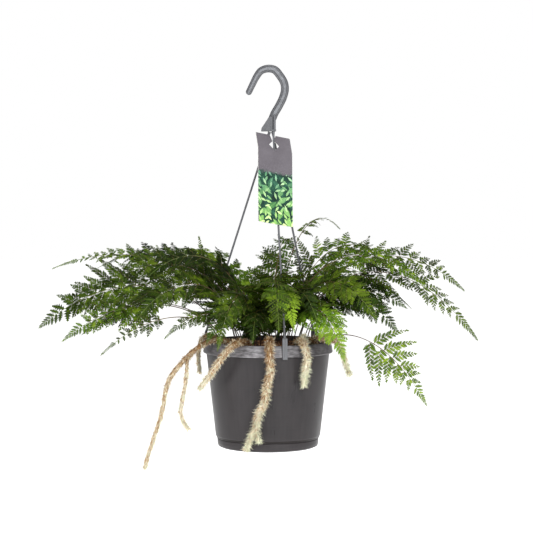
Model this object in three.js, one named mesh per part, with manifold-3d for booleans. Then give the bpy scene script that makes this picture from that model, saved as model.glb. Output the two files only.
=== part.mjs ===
// Hare's-foot fern in a hanging grower's pot.
// Millimetres, +Z up, the front towards -Y, the right-hand side towards +X.
// The origin is the point inside the hook that bears on the rail it hangs from.
// A bearing is in degrees round +Z: 0 is the front, 90 the right, 180 the back and -90 the left.

import * as THREE from "three";
import { mergeVertices } from "three/addons/utils/BufferGeometryUtils.js";
import Module from "manifold-3d";

const wasm = await Module();
wasm.setup();

// ---------------------------------------------------------------- driving dimensions

const GAP = 0.3; // clearance kept between pieces that touch

const RIM_Z = -370;
const POT = {
  sides: 32,
  height: 147,
  collarRadius: 90, // outer edge of the turned-down collar
  collarTopRadius: 87.2,
  collarHeight: 15,
  bodyTopRadius: 85.5,
  bodyFootRadius: 72.8,
  footRadius: 70,
  footHeight: 12.5,
  baseRadius: 65,
  wall: 2,
  recess: 3, // how far the underside stands up inside the foot ring
  floor: 3,
  drainCount: 6,
  drainRadius: 4,
  drainCircle: 42,
};
const BASE_Z = RIM_Z - POT.height;

const MIX = {
  sides: 24,
  edgeZ: RIM_Z - 9, // where the potting mix meets the wall
  crown: 4, // how much the middle stands above that edge
  lump: 1.2,
  holeDepth: 8,
};

const HOOK = {
  width: 11, // across the bar, seen from the front
  depth: 9,
  steps: 16,
  // The bar's centre line, seen from the front: across and up.
  line: [
    [-26.2, -26], [-21.2, -15.6], [-15.6, -4.8], [-9.4, 3], [0, 6], [9.3, 4.2], [16.2, -3.4],
    [22, -13], [23.4, -22.4], [21, -33], [14.8, -45.9], [9.2, -55.5], [6, -63],
  ],
  // The hub that the bar runs into, seen from the front.
  hub: [[1.8, -61], [-8.9, -76], [-8.9, -80.3], [10.8, -80.3], [10.8, -61]],
  hubDepth: 17,
};
const HUB_Z = -80.3;

const ARM = {
  bearings: { front: 14.5, right: 134.5, left: -105.5 }, // where each rod meets the pot's collar
  tops: { front: [7.2, -4], right: [6.5, 4], left: [2.2, 1.5] }, // where it leaves the hub: X and Y
  radius: 1.4,
  topZ: HUB_Z - 0.75,
  footRadius: 90.2, // distance of its lower end from the pot's axis
  footZ: -361,
  strapWidth: 7,
  strapThick: 1.9,
  lip: 4.6, // how far the strap's foot reaches in under the collar
};

const LABEL = {
  width: 54,
  height: 131,
  thick: 0.8,
  headHeight: 25.5, // the part above the fold, which holds the slit hole
  headTilt: 15, // how far that part leans back, in degrees
  lean: 19, // how far it leans forward, in degrees, so that it lies along the rod
  yaw: 30, // how far its printed face is turned to the right, in degrees
  topZ: -83,
  shift: -0.4, // how far its middle stands to the right of the rod
  stand: 0.9, // how far the fold stands off the rod
  holeHalf: 8,
  holeDrop: 16.5, // from the top edge to the middle of the hole
  holeShift: 0.8, // how far the hole stands to the left of the rod's place at the fold
  slit: 3.4, // width of the slit where it leaves the hole
  slitTop: 9, // and at the card's top edge
};

// ---------------------------------------------------------------- common helpers

const radians = THREE.MathUtils.degToRad;
const vec = (x, y, z) => new THREE.Vector3(x, y, z);

// The point at a distance from the pot's axis, along a bearing.
function polar(bearing, distance, z) {
  const turn = radians(bearing);
  return vec(distance * Math.sin(turn), -distance * Math.cos(turn), z);
}

// A repeatable draw between 0 and 1.
function seeded(seed) {
  let state = seed >>> 0;
  return () => {
    state = (state + 0x6d2b79f5) >>> 0;
    let t = Math.imul(state ^ (state >>> 15), 1 | state);
    t = (t + Math.imul(t ^ (t >>> 7), 61 | t)) ^ t;
    return ((t ^ (t >>> 14)) >>> 0) / 4294967296;
  };
}

function solidOf(geometry) {
  const bare = geometry.clone();
  bare.deleteAttribute("normal");
  bare.deleteAttribute("uv");
  const merged = mergeVertices(bare, 1e-4);
  return new wasm.Manifold(new wasm.Mesh({
    numProp: 3,
    vertProperties: Float32Array.from(merged.attributes.position.array),
    triVerts: Uint32Array.from(merged.index.array),
  }));
}

function geometryOf(solid) {
  const mesh = solid.getMesh();
  const geometry = new THREE.BufferGeometry();
  const count = mesh.numVert;
  const positions = new Float32Array(3 * count);
  for (let i = 0; i < count; i += 1) {
    positions.set(mesh.vertProperties.subarray(i * mesh.numProp, i * mesh.numProp + 3), 3 * i);
  }
  geometry.setAttribute("position", new THREE.BufferAttribute(positions, 3));
  geometry.setIndex(Array.from(mesh.triVerts));
  geometry.computeVertexNormals();
  return geometry;
}

// A closed body from its points and its triangles.
function closed(points, faces) {
  const geometry = new THREE.BufferGeometry();
  const flat = points.flatMap((point) => [point.x, point.y, point.z]);
  geometry.setAttribute("position", new THREE.Float32BufferAttribute(flat, 3));
  geometry.setIndex(faces.flat());
  geometry.computeVertexNormals();
  return geometry;
}

// A body turned about +Z from its outline of [radius, height] pairs.
function turned(outline, sides) {
  const points = outline.map(([radius, z]) => new THREE.Vector2(radius, z));
  return new THREE.LatheGeometry(points, sides).rotateX(Math.PI / 2);
}

// A flat outline in X and Z, given a depth along Y about its middle.
function upright(outline, depth) {
  const shape = new THREE.Shape(outline.map(([x, z]) => new THREE.Vector2(x, z)));
  const geometry = new THREE.ExtrudeGeometry(shape, { depth, bevelEnabled: false });
  return geometry.translate(0, 0, -depth / 2).rotateX(Math.PI / 2);
}

// ---------------------------------------------------------------- finishes

const finish = (color, roughness) => new THREE.MeshStandardMaterial({ color, roughness, metalness: 0 });

const FINISH = {
  pot: () => finish("#4e4d50", 0.55),
  hanger: () => finish("#6f6e74", 0.5),
  label: () => finish("#6a6569", 0.35),
  mix: () => finish("#3a2a1e", 0.95),
  rhizome: () => finish("#b98a5e", 0.9),
  dark: () => finish("#22401a", 0.6),
  mid: () => finish("#2d5c1d", 0.6),
  bright: () => finish("#437f24", 0.6),
  pale: () => finish("#74982e", 0.6),
};

const plant = new THREE.Group();

function piece(name, geometry, material) {
  const mesh = new THREE.Mesh(geometry, material);
  mesh.name = name;
  plant.add(mesh);
  return mesh;
}

// ---------------------------------------------------------------- the pot

function innerRadius(height) {
  const slope = (POT.bodyTopRadius - POT.bodyFootRadius) / (POT.height - POT.collarHeight - 16.5);
  return POT.bodyFootRadius - POT.wall + slope * (height - 16.5);
}

function potSolid() {
  const top = POT.height;
  const collar = top - POT.collarHeight;
  const ring = POT.baseRadius - 5.5;
  const inside = POT.recess + POT.floor;
  const shell = turned([
    [0, POT.recess], [ring - 1.5, POT.recess], [ring, 0], [POT.baseRadius, 0],
    [POT.footRadius - 1, 2], [POT.footRadius, 6], [POT.footRadius, POT.footHeight],
    [POT.bodyFootRadius, 16.5], [POT.bodyTopRadius, collar - 0.5],
    [POT.collarRadius - 1.2, collar - 1], [POT.collarRadius, collar + 0.3],
    [POT.collarTopRadius + 0.6, top - 2], [POT.collarTopRadius - 0.6, top],
    [innerRadius(top) + 0.8, top], [innerRadius(top - 3), top - 3],
    [innerRadius(16.5), 16.5], [POT.footRadius - 2.5, inside + 0.5], [0, inside],
  ], POT.sides).translate(0, 0, BASE_Z);
  let solid = solidOf(shell);
  for (let i = 0; i < POT.drainCount; i += 1) {
    const centre = polar((i + 0.5) * (360 / POT.drainCount), POT.drainCircle, BASE_Z + POT.recess);
    const drill = new THREE.CylinderGeometry(POT.drainRadius, POT.drainRadius, 4 * POT.floor, 6);
    drill.rotateX(Math.PI / 2).translate(centre.x, centre.y, centre.z);
    solid = solid.subtract(solidOf(drill));
  }
  return solid;
}

// ---------------------------------------------------------------- the fronds' plan

// One row for each frond, chosen by eye.
// bearing: where its tip points, in degrees. reach: how far its tip is from the pot's axis.
// crest: the height of its arch, and tip: the height of its tip, both above the pot's rim.
// root: how far from the pot's axis its stem stands. share: how much of its length bears leaflets.
// spread: the length of its longest side branch. roll: how far its face turns to the left, in degrees.
// tone: its green. pairs: how many pairs of side branches it has.
const FRONDS = [
  [-100, 310, 119, 97, 40, 0.50, 34, 24, "bright", 6],
  [-116, 276, 120, 94, 52, 0.55, 60, 12, "dark", 6],
  [-80, 316, 86, 22, 58, 0.64, 82, 34, "mid", 7],
  [-70, 292, 62, 8, 62, 0.55, 56, 48, "bright", 6],
  [-96, 262, 54, 6, 64, 0.50, 46, 25, "dark", 5],
  [-59, 256, 43, -7, 60, 0.42, 24, 40, "mid", 5],
  [-49, 180, 46, 14, 46, 0.60, 28, 30, "mid", 5],
  [-129, 236, 110, 86, 34, 0.64, 68, 8, "mid", 6],
  [-143, 256, 123, 92, 44, 0.58, 62, -8, "bright", 6],
  [-157, 232, 100, 62, 50, 0.68, 68, 6, "pale", 6],
  [-171, 244, 74, 30, 62, 0.72, 70, -10, "mid", 6],
  [-134, 226, 70, 34, 66, 0.70, 60, -10, "dark", 5],
  [-88, 232, 112, 70, 28, 0.70, 68, 26, "mid", 6],
  [-64, 196, 88, 36, 38, 0.72, 68, 35, "mid", 6],
  [-78, 168, 122, 90, 18, 0.70, 58, 22, "dark", 5],
  [-34, 144, 58, 8, 36, 0.74, 56, 26, "dark", 5],
  [-23, 168, 78, 2, 46, 0.72, 62, 16, "mid", 6],
  [-8, 144, 54, 10, 50, 0.74, 58, 6, "dark", 5],
  [4, 198, 102, 30, 38, 0.72, 88, 0, "bright", 7],
  [13, 152, 78, 26, 58, 0.60, 44, -6, "pale", 5],
  [37, 168, 56, -16, 52, 0.62, 54, -24, "pale", 6],
  [30, 130, 78, 36, 34, 0.74, 56, -12, "dark", 5],
  [50, 186, 92, 40, 34, 0.70, 68, -30, "mid", 6],
  [60, 200, 70, 20, 54, 0.66, 60, -32, "dark", 5],
  [65, 234, 12, -78, 72, 0.56, 56, -54, "bright", 6],
  [74, 222, 126, 78, 22, 0.70, 68, -28, "bright", 6],
  [84, 290, 107, 2, 40, 0.60, 66, -26, "mid", 7],
  [80, 192, 72, 48, 62, 0.58, 50, -34, "dark", 5],
  [99, 281, 124, 66, 44, 0.54, 56, -36, "mid", 6],
  [112, 222, 84, 38, 56, 0.70, 64, -14, "dark", 5],
  [123, 224, 136, 90, 32, 0.70, 70, -16, "bright", 6],
  [142, 244, 100, 56, 50, 0.70, 66, 4, "mid", 6],
  [148, 200, 164, 150, 24, 0.34, 20, 0, "mid", 5],
  [162, 232, 74, 26, 60, 0.72, 64, 8, "dark", 5],
  [176, 210, 118, 84, 36, 0.70, 64, 0, "mid", 6],
  [166, 160, 140, 112, 16, 0.60, 58, 0, "dark", 6],
].map(([bearing, reach, crest, tip, root, share, spread, roll, tone, pairs]) => (
  { bearing, reach, crest, tip, root, share, spread, roll, tone, pairs }
));

const STEM = {
  half: 0.95, // half the side of its square section in the potting mix
  tipHalf: 0.5,
  holeClear: 0.25,
  straight: 3, // how far it stands straight up before it leans
};

// The height of the potting mix at a distance from the axis, before its lumps.
function mixHeight(distance) {
  const edge = innerRadius(MIX.edgeZ - BASE_Z);
  return MIX.edgeZ + MIX.crown * (1 - (distance / edge) ** 2);
}

// Where a frond's stem stands, with a small draw so that no two stand in line.
function rootOf(frond, index) {
  const draw = seeded(900 + index);
  const foot = polar(frond.bearing + 10 * (draw() - 0.5), frond.root, 0);
  foot.z = mixHeight(frond.root);
  return foot;
}

// The path of a frond's stem and rib: up from the mix, over its arch, and down to its tip.
function pathOf(frond, index) {
  const foot = rootOf(frond, index);
  const tip = polar(frond.bearing, frond.reach, RIM_Z + frond.tip);
  const crestZ = RIM_Z + frond.crest;
  const pullZ = (crestZ - 0.125 * (foot.z + tip.z)) / 0.75;
  const first = foot.clone().lerp(tip, 0.12);
  const second = foot.clone().lerp(tip, 0.6);
  first.z = foot.z + 0.8 * (pullZ - foot.z);
  second.z = pullZ;
  return new THREE.CubicBezierCurve3(foot, first, second, tip);
}

// ---------------------------------------------------------------- the potting mix

function mixSolid() {
  const draw = seeded(41);
  const edge = innerRadius(MIX.edgeZ - BASE_Z) - GAP - 0.1;
  const rings = [edge, 0.74 * edge, 0.4 * edge];
  const outline = [
    [0, BASE_Z + POT.recess + POT.floor + GAP],
    [POT.footRadius - 3.2, BASE_Z + POT.recess + POT.floor + 0.5 + GAP],
    [innerRadius(16.5) - GAP - 0.1, BASE_Z + 16.5],
    ...rings.map((radius) => [radius, mixHeight(radius)]),
    [0, mixHeight(0)],
  ];
  const body = turned(outline, MIX.sides);
  const merged = mergeVertices(body.deleteAttribute("normal").deleteAttribute("uv"), 1e-3);
  const spots = merged.attributes.position;
  for (let i = 0; i < spots.count; i += 1) {
    const inside = Math.hypot(spots.getX(i), spots.getY(i)) < 0.9 * edge;
    if (inside && spots.getZ(i) > MIX.edgeZ - 1) {
      spots.setZ(i, spots.getZ(i) + MIX.lump * (2 * draw() - 1));
    }
  }
  let solid = solidOf(merged);
  FRONDS.forEach((frond, index) => {
    const foot = rootOf(frond, index);
    const side = 2 * (STEM.half + STEM.holeClear);
    const hole = new THREE.BoxGeometry(side, side, 2 * MIX.holeDepth + 1);
    hole.rotateZ(radians(frond.bearing)).translate(foot.x, foot.y, foot.z + 0.5);
    solid = solid.subtract(solidOf(hole));
  });
  return solid;
}

// ---------------------------------------------------------------- the hanger

function hookSolid() {
  const path = new THREE.CatmullRomCurve3(HOOK.line.map(([x, z]) => vec(x, 0, z)));
  const w = HOOK.width / 2;
  const d = HOOK.depth / 2;
  const section = new THREE.Shape([
    [-d, -0.5 * w], [-0.55 * d, -w], [0.55 * d, -w], [d, -0.5 * w],
    [d, 0.5 * w], [0.55 * d, w], [-0.55 * d, w], [-d, 0.5 * w],
  ].map(([x, y]) => new THREE.Vector2(x, y)));
  const bar = new THREE.ExtrudeGeometry(section, { steps: HOOK.steps, extrudePath: path });
  const tip = new THREE.SphereGeometry(0.47 * HOOK.width, 8, 6);
  tip.translate(HOOK.line[0][0], 0, HOOK.line[0][1]);
  return solidOf(bar).add(solidOf(upright(HOOK.hub, HOOK.hubDepth))).add(solidOf(tip));
}

// The two ends of a rod, at the hub and at the pot's collar.
function armEnds(side) {
  return [vec(...ARM.tops[side], ARM.topZ), polar(ARM.bearings[side], ARM.footRadius, ARM.footZ)];
}

// One rod with the flat clip that hooks under the collar.
function armSolid(side) {
  const line = new THREE.LineCurve3(...armEnds(side));
  const ring = [0, 1, 2, 3, 4, 5].map((i) => new THREE.Vector2(
    ARM.radius * Math.cos(i * Math.PI / 3),
    ARM.radius * Math.sin(i * Math.PI / 3),
  ));
  const rod = new THREE.ExtrudeGeometry(new THREE.Shape(ring), { steps: 1, extrudePath: line });
  const under = RIM_Z - POT.collarHeight - 1 - GAP;
  const outTop = POT.collarTopRadius + 1.6;
  const outLow = POT.collarRadius + GAP + 0.1;
  // The strap in the plane through the axis: distance from the axis, and height.
  const strap = upright([
    [outTop, ARM.footZ - 1.5], [outTop, RIM_Z - 1], [outLow, under + 1], [outLow, under],
    [outLow + ARM.strapThick - ARM.lip - 1.5, under],
    [outLow + ARM.strapThick - ARM.lip, under - 1.8], [outLow + ARM.strapThick, under - 1.8],
    [outTop + ARM.strapThick + 0.4, ARM.footZ + 1.5], [outTop + 0.6, ARM.footZ + 1.5],
  ], ARM.strapWidth).rotateZ(-Math.PI / 2);
  return solidOf(rod).add(solidOf(strap).rotate([0, 0, ARM.bearings[side]]));
}

// ---------------------------------------------------------------- the label

// The card hangs in front of the front rod, lies along it, and lets the rod through its slit hole.
function labelGeometry() {
  const [top, foot] = armEnds("front");
  const tilt = radians(LABEL.headTilt);
  const half = LABEL.thick / 2;
  const body = LABEL.height - LABEL.headHeight;
  const back = LABEL.headHeight * Math.sin(tilt);
  const headZ = LABEL.headHeight * Math.cos(tilt);
  // The card's side view, folded at the origin: across it towards its back, and up.
  const side = [
    [-half, -body], [half, -body], [half, 0], [half + back, headZ], [back - half, headZ], [-half, 0],
  ];
  const card = upright(side, LABEL.width).rotateZ(Math.PI / 2);
  const holeZ = (LABEL.headHeight - LABEL.holeDrop) * Math.cos(tilt);
  const r = LABEL.holeHalf;
  const s = LABEL.slit / 2;
  const t = LABEL.slitTop / 2;
  const notch = upright([
    [0, holeZ - r], [r, holeZ], [s, holeZ + r - s], [t, headZ], [t, headZ + 5], [-t, headZ + 5],
    [-t, headZ], [-s, holeZ + r - s], [-r, holeZ],
  ], 40).translate(-LABEL.shift - LABEL.holeShift, 0, 0);
  const made = geometryOf(solidOf(card).subtract(solidOf(notch)));
  // The card's own right, back and up, leant forward and then turned about its length.
  const lean = radians(LABEL.lean);
  const up = vec(0, Math.sin(lean), Math.cos(lean));
  const right = vec(1, 0, 0).applyAxisAngle(up, radians(LABEL.yaw));
  const rear = up.clone().cross(right);
  const foldZ = LABEL.topZ - LABEL.headHeight;
  const hang = top.clone().lerp(foot, (top.z - foldZ) / (top.z - foot.z));
  hang.addScaledVector(right, LABEL.shift);
  hang.addScaledVector(rear, -(ARM.radius + GAP + half + LABEL.stand));
  const placed = new THREE.Matrix4().makeBasis(right, rear, up).setPosition(hang);
  return made.applyMatrix4(placed);
}

// ---------------------------------------------------------------- blades and frames

// Collects the triangles of one closed body.
class Body {
  constructor() {
    this.points = [];
    this.faces = [];
  }

  // A spot on a thin sheet: one point on its upper face and one on its lower face.
  spot(centre, normal, half) {
    const top = this.points.push(centre.clone().addScaledVector(normal, half)) - 1;
    const low = this.points.push(centre.clone().addScaledVector(normal, -half)) - 1;
    return { top, low };
  }

  // A patch of the sheet, its corners counterclockwise from above, alike on both faces.
  patch(...corners) {
    for (let i = 1; i + 1 < corners.length; i += 1) {
      this.faces.push([corners[0].top, corners[i].top, corners[i + 1].top]);
      this.faces.push([corners[0].low, corners[i + 1].low, corners[i].low]);
    }
  }

  // The narrow wall under an outer edge, which runs counterclockwise round the sheet.
  wall(a, b) {
    this.faces.push([a.top, a.low, b.low], [a.top, b.low, b.top]);
  }

  geometry() {
    return closed(this.points, this.faces);
  }
}

const BLADE = {
  half: 0.35, // half the thickness of a leaflet
  ribHalf: 0.7, // half the width of a side branch between its leaflets
  sweep: 0.8, // how far along its stretch of the branch a leaflet's point stands
  sag: 0.22, // how far a leaflet's point hangs, over its length
  endNotch: 0.34, // half the width at the last notch, over the length of the leaflets beside it
  tipShare: 1.15, // length of the last leaflet over the stretch that each of the others takes
  lance: 0.15, // half the width of a lance over its length
};

// A side branch as one thin arched blade, its leaflets cut to the rib.
// left and right are the two spots that it grows from, seen along it from above.
function growBlade(body, left, right, plan) {
  const { start, along, across, normal, length, lobes, droop, bend } = plan;
  const frameAt = (t) => {
    const drop = droop * t;
    const sway = bend * t;
    const way = along.clone().multiplyScalar(Math.cos(drop)).addScaledVector(normal, -Math.sin(drop));
    const face = normal.clone().multiplyScalar(Math.cos(drop)).addScaledVector(along, Math.sin(drop));
    const side = across.clone().multiplyScalar(Math.cos(sway)).addScaledVector(way, -Math.sin(sway));
    return { way: way.multiplyScalar(Math.cos(sway)).addScaledVector(across, Math.sin(sway)), side, face };
  };
  const place = (centre, frame, sideways, sag) => body.spot(
    centre.clone().addScaledVector(frame.side, sideways).addScaledVector(frame.face, -sag),
    frame.face, BLADE.half,
  );
  const share = 1 / (lobes.length + BLADE.tipShare);
  let here = start.clone();
  let [l, r] = [left, right];
  lobes.forEach((lobe, k) => {
    const frame = frameAt((k + 0.5) * share);
    const from = here.clone();
    here = here.addScaledVector(frame.way, length * share);
    // The last notch is a shallow one, where the leaflets run together.
    const isLast = k === lobes.length - 1;
    const width = isLast ? Math.max(BLADE.ribHalf, BLADE.endNotch * lobe) : BLADE.ribHalf;
    const nextL = place(here, frame, width, 0);
    const nextR = place(here, frame, -width, 0);
    const reach = from.clone().lerp(here, BLADE.sweep);
    const tipL = place(reach, frame, lobe, BLADE.sag * lobe);
    const tipR = place(reach, frame, -lobe, BLADE.sag * lobe);
    body.patch(l, r, nextR, nextL);
    body.patch(l, nextL, tipL);
    body.patch(r, tipR, nextR);
    body.wall(nextL, tipL);
    body.wall(tipL, l);
    body.wall(r, tipR);
    body.wall(tipR, nextR);
    [l, r] = [nextL, nextR];
  });
  const end = frameAt(1);
  const rest = length * BLADE.tipShare * share;
  if (lobes.length === 0) {
    // A branch of one leaflet is a lance.
    here.addScaledVector(frameAt(0.3).way, 0.42 * rest);
    const bellyL = place(here, end, BLADE.lance * rest, 0);
    const bellyR = place(here, end, -BLADE.lance * rest, 0);
    body.patch(l, r, bellyR, bellyL);
    body.wall(r, bellyR);
    body.wall(bellyL, l);
    [l, r] = [bellyL, bellyR];
  }
  const tip = place(here.addScaledVector(end.way, (lobes.length === 0 ? 0.58 : 1) * rest), end, 0, 0);
  body.patch(l, r, tip);
  body.wall(r, tip);
  body.wall(tip, l);
}

// The side branch alone, closed where it grows from, to test what it would cross.
function bladeSolid(left, right, points, plan) {
  const body = new Body();
  const copy = (spot) => {
    const top = body.points.push(points[spot.top].clone()) - 1;
    const low = body.points.push(points[spot.low].clone()) - 1;
    return { top, low };
  };
  const l = copy(left);
  const r = copy(right);
  body.wall(l, r);
  growBlade(body, l, r, plan);
  return solidOf(body.geometry());
}

// ---------------------------------------------------------------- fronds

const FROND = {
  stemSteps: 5,
  angle: 60, // between the rib and a side branch, in degrees
  attach: 1.5, // how much of the rib a side branch grows from
  droop: 26, // how far a side branch turns down by its tip, in degrees
  bend: 12, // how far it turns towards the frond's tip, in degrees
  lobeShare: 0.5, // longest a leaflet may be, over the distance between two side branches
  slimness: 0.26, // longest a leaflet may be, over the length of its side branch
};

// Frames along a frond: the spot, the way it runs, the side to its right, and its upper face.
function framesOf(frond, index) {
  const path = pathOf(frond, index);
  const total = path.getLength();
  const bare = 1 - frond.share;
  return {
    total,
    at(s) {
      const u = THREE.MathUtils.clamp(s, 0, 1);
      const spot = path.getPointAt(u);
      const way = path.getTangentAt(u);
      const level = polar(frond.bearing - 90, 1, 0);
      const side = level.addScaledVector(way, -level.dot(way)).normalize();
      const turn = radians(frond.roll) * THREE.MathUtils.smoothstep(u, 0.25 * bare, bare);
      side.applyAxisAngle(way, -turn);
      return { spot, way, side, face: side.clone().cross(way) };
    },
  };
}

// How many leaflets each side branch bears on each side, from the lowest branch to the highest.
const LOBES_BY_PAIRS = { 5: [2, 1, 1, 0, 0], 6: [2, 1, 1, 0, 0, 0], 7: [2, 1, 1, 1, 0, 0, 0] };

// The stem and rib as one strip, and the places where side branches grow from it.
function ribOf(frond, index) {
  const body = new Body();
  const frames = framesOf(frond, index);
  const bare = 1 - frond.share;
  const stations = [];
  const add = (s, half, thick) => {
    const frame = frames.at(s);
    const left = body.spot(frame.spot.clone().addScaledVector(frame.side, -half), frame.face, thick);
    const right = body.spot(frame.spot.clone().addScaledVector(frame.side, half), frame.face, thick);
    stations.push({ left, right, frame });
  };
  // The straight foot in its hole, then the stem.
  const foot = frames.at(0);
  const level = polar(frond.bearing - 90, 1, 0);
  const inward = polar(frond.bearing + 180, 1, 0);
  [GAP - MIX.holeDepth, STEM.straight].forEach((rise) => {
    const centre = foot.spot.clone().add(vec(0, 0, rise));
    stations.push({
      left: body.spot(centre.clone().addScaledVector(level, -STEM.half), inward, STEM.half),
      right: body.spot(centre.clone().addScaledVector(level, STEM.half), inward, STEM.half),
      frame: { ...foot, spot: centre },
    });
  });
  for (let i = 1; i <= FROND.stemSteps; i += 1) {
    const t = i / FROND.stemSteps;
    add(0.06 + (bare - 0.06) * t, STEM.half - 0.3 * t, STEM.half - 0.35 * t);
  }
  // Side branches, closer together towards the tip.
  const places = [];
  const pairs = frond.pairs;
  for (let k = 0; k < pairs; k += 1) {
    const t = (k + 0.25) / (pairs + 0.6);
    const s = bare + frond.share * t ** 0.92;
    const half = STEM.half - 0.3 - (STEM.half - 0.3 - STEM.tipHalf) * t;
    const step = FROND.attach / frames.total;
    if (k > 0) add(s, half, half - 0.05);
    places.push({ station: stations.length - 1, s, t });
    add(s + step, half, half - 0.05);
  }
  return { body, frames, stations, places };
}

// What a side branch of a frond looks like before it is bent clear of its neighbours.
function branchPlan(frond, rib, place, k, sign, change) {
  const a = rib.stations[place.station];
  const b = rib.stations[place.station + 1];
  const { way, side, face } = a.frame;
  const outward = side.clone().multiplyScalar(sign);
  const angle = radians(FROND.angle - 5 * place.t);
  const along = outward.multiplyScalar(Math.sin(angle)).addScaledVector(way, Math.cos(angle));
  const across = face.clone().cross(along);
  const tilt = radians(change.lift);
  const lifted = along.clone().multiplyScalar(Math.cos(tilt)).addScaledVector(face, Math.sin(tilt));
  const normal = face.clone().multiplyScalar(Math.cos(tilt)).addScaledVector(along, -Math.sin(tilt));
  const length = frond.spread * (1 - 0.86 * place.t) * change.scale;
  const pitch = (frond.share * rib.frames.total) / (frond.pairs + 0.6);
  const counts = LOBES_BY_PAIRS[frond.pairs][k];
  const widest = Math.min(FROND.lobeShare * pitch, FROND.slimness * length);
  const lobes = Array.from({ length: counts }, (_, i) => widest * (1 - 0.45 * (i / (counts + 0.5))));
  const edge = sign > 0 ? [a.right, b.right] : [a.left, b.left];
  const points = rib.body.points;
  const start = vec(0, 0, 0);
  edge.forEach((spot) => start.add(points[spot.top]).add(points[spot.low]));
  return {
    start: start.multiplyScalar(0.25),
    along: lifted,
    across,
    normal,
    length,
    lobes,
    droop: radians(FROND.droop),
    bend: sign * radians(FROND.bend),
  };
}

// The blade that the rib ends in.
function tipPlan(frond, rib, change) {
  const { spot, way, side, face } = rib.stations[rib.stations.length - 1].frame;
  const tilt = radians(0.5 * change.lift);
  const pitch = (frond.share * rib.frames.total) / (frond.pairs + 0.6);
  const length = 1.3 * pitch * change.scale;
  return {
    start: spot,
    along: way.clone().multiplyScalar(Math.cos(tilt)).addScaledVector(face, Math.sin(tilt)),
    across: side.clone().negate(),
    normal: face.clone().multiplyScalar(Math.cos(tilt)).addScaledVector(way, -Math.sin(tilt)),
    length,
    lobes: [Math.min(0.2 * length, 0.2 * frond.spread)],
    droop: radians(14),
    bend: 0,
  };
}

// What is tried for a blade, in turn: how far it is lifted, in degrees, and how much it is scaled.
const CHANGES = [
  [0, 1], [12, 1], [-12, 1], [22, 1], [-22, 1], [34, 0.95], [-34, 0.95], [0, 0.8], [14, 0.8], [-14, 0.8],
  [46, 0.85], [-46, 0.85], [30, 0.7], [-30, 0.7], [0, 0.6], [20, 0.55], [-20, 0.55], [60, 0.55], [-60, 0.55],
  [0, 0.4], [35, 0.4], [-35, 0.4],
].map(([lift, scale]) => ({ lift, scale }));

// Whether a solid would cross any of the others.
function crosses(solid, box, others) {
  const near = others.filter((other) => other.box.intersectsBox(box));
  return near.some((other) => solid.intersect(other.solid).volume() > 1e-6);
}

function boxed(solid) {
  const { min, max } = solid.boundingBox();
  return { solid, box: new THREE.Box3(vec(...min), vec(...max)) };
}

// All the fronds: first every stem and rib, then the blades, each bent clear of what is there.
function growFronds(fixed) {
  const others = [...fixed];
  const ribs = FRONDS.map((frond, index) => ribOf(frond, index));
  ribs.forEach((rib, index) => {
    const strip = new Body();
    strip.points = rib.body.points.slice();
    closeRib(strip, rib.stations, new Set(), true);
    others.push({ ...boxed(solidOf(strip.geometry())), frond: index });
  });
  const grown = ribs.map(() => []);
  const fit = (index, [left, right], station, sign, planOf) => {
    const rivals = others.filter((other) => other.frond !== index || other.branch);
    CHANGES.some((change) => {
      const plan = planOf(change);
      const { solid, box } = boxed(bladeSolid(left, right, ribs[index].body.points, plan));
      if (crosses(solid, box, rivals)) return false;
      others.push({ solid, box, frond: index, branch: true });
      grown[index].push({ left, right, plan, station, sign });
      return true;
    });
  };
  ribs.forEach((rib, index) => {
    const last = rib.stations.length - 1;
    const { left, right } = rib.stations[last];
    fit(index, [left, right], last, 0, (change) => tipPlan(FRONDS[index], rib, change));
  });
  const most = Math.max(...FRONDS.map((frond) => frond.pairs));
  for (let k = most - 1; k >= 0; k -= 1) {
    ribs.forEach((rib, index) => {
      const frond = FRONDS[index];
      if (k >= frond.pairs) return;
      const place = rib.places[k];
      const a = rib.stations[place.station];
      const b = rib.stations[place.station + 1];
      [1, -1].forEach((sign) => {
        const ends = sign > 0 ? [b.right, a.right] : [a.left, b.left];
        fit(index, ends, place.station, sign, (change) => branchPlan(frond, rib, place, k, sign, change));
      });
    });
  }
  return { ribs, grown };
}

// Closes the strip of a stem and rib: patches along it, walls where nothing grows, and both ends.
function closeRib(body, stations, taken, capTip) {
  const first = stations[0];
  body.faces.push([first.left.top, first.left.low, first.right.low]);
  body.faces.push([first.left.top, first.right.low, first.right.top]);
  for (let i = 0; i + 1 < stations.length; i += 1) {
    const a = stations[i];
    const b = stations[i + 1];
    body.patch(a.left, a.right, b.right, b.left);
    if (!taken.has(`${i}:1`)) body.wall(a.right, b.right);
    if (!taken.has(`${i}:-1`)) body.wall(b.left, a.left);
  }
  if (capTip) {
    const last = stations[stations.length - 1];
    body.wall(last.right, last.left);
  }
}

function frondGeometry(rib, branches) {
  const taken = new Set(branches.map((branch) => `${branch.station}:${branch.sign}`));
  closeRib(rib.body, rib.stations, taken, !taken.has(`${rib.stations.length - 1}:0`));
  branches.forEach(({ left, right, plan }) => growBlade(rib.body, left, right, plan));
  return rib.body.geometry();
}

// ---------------------------------------------------------------- rhizomes

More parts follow.
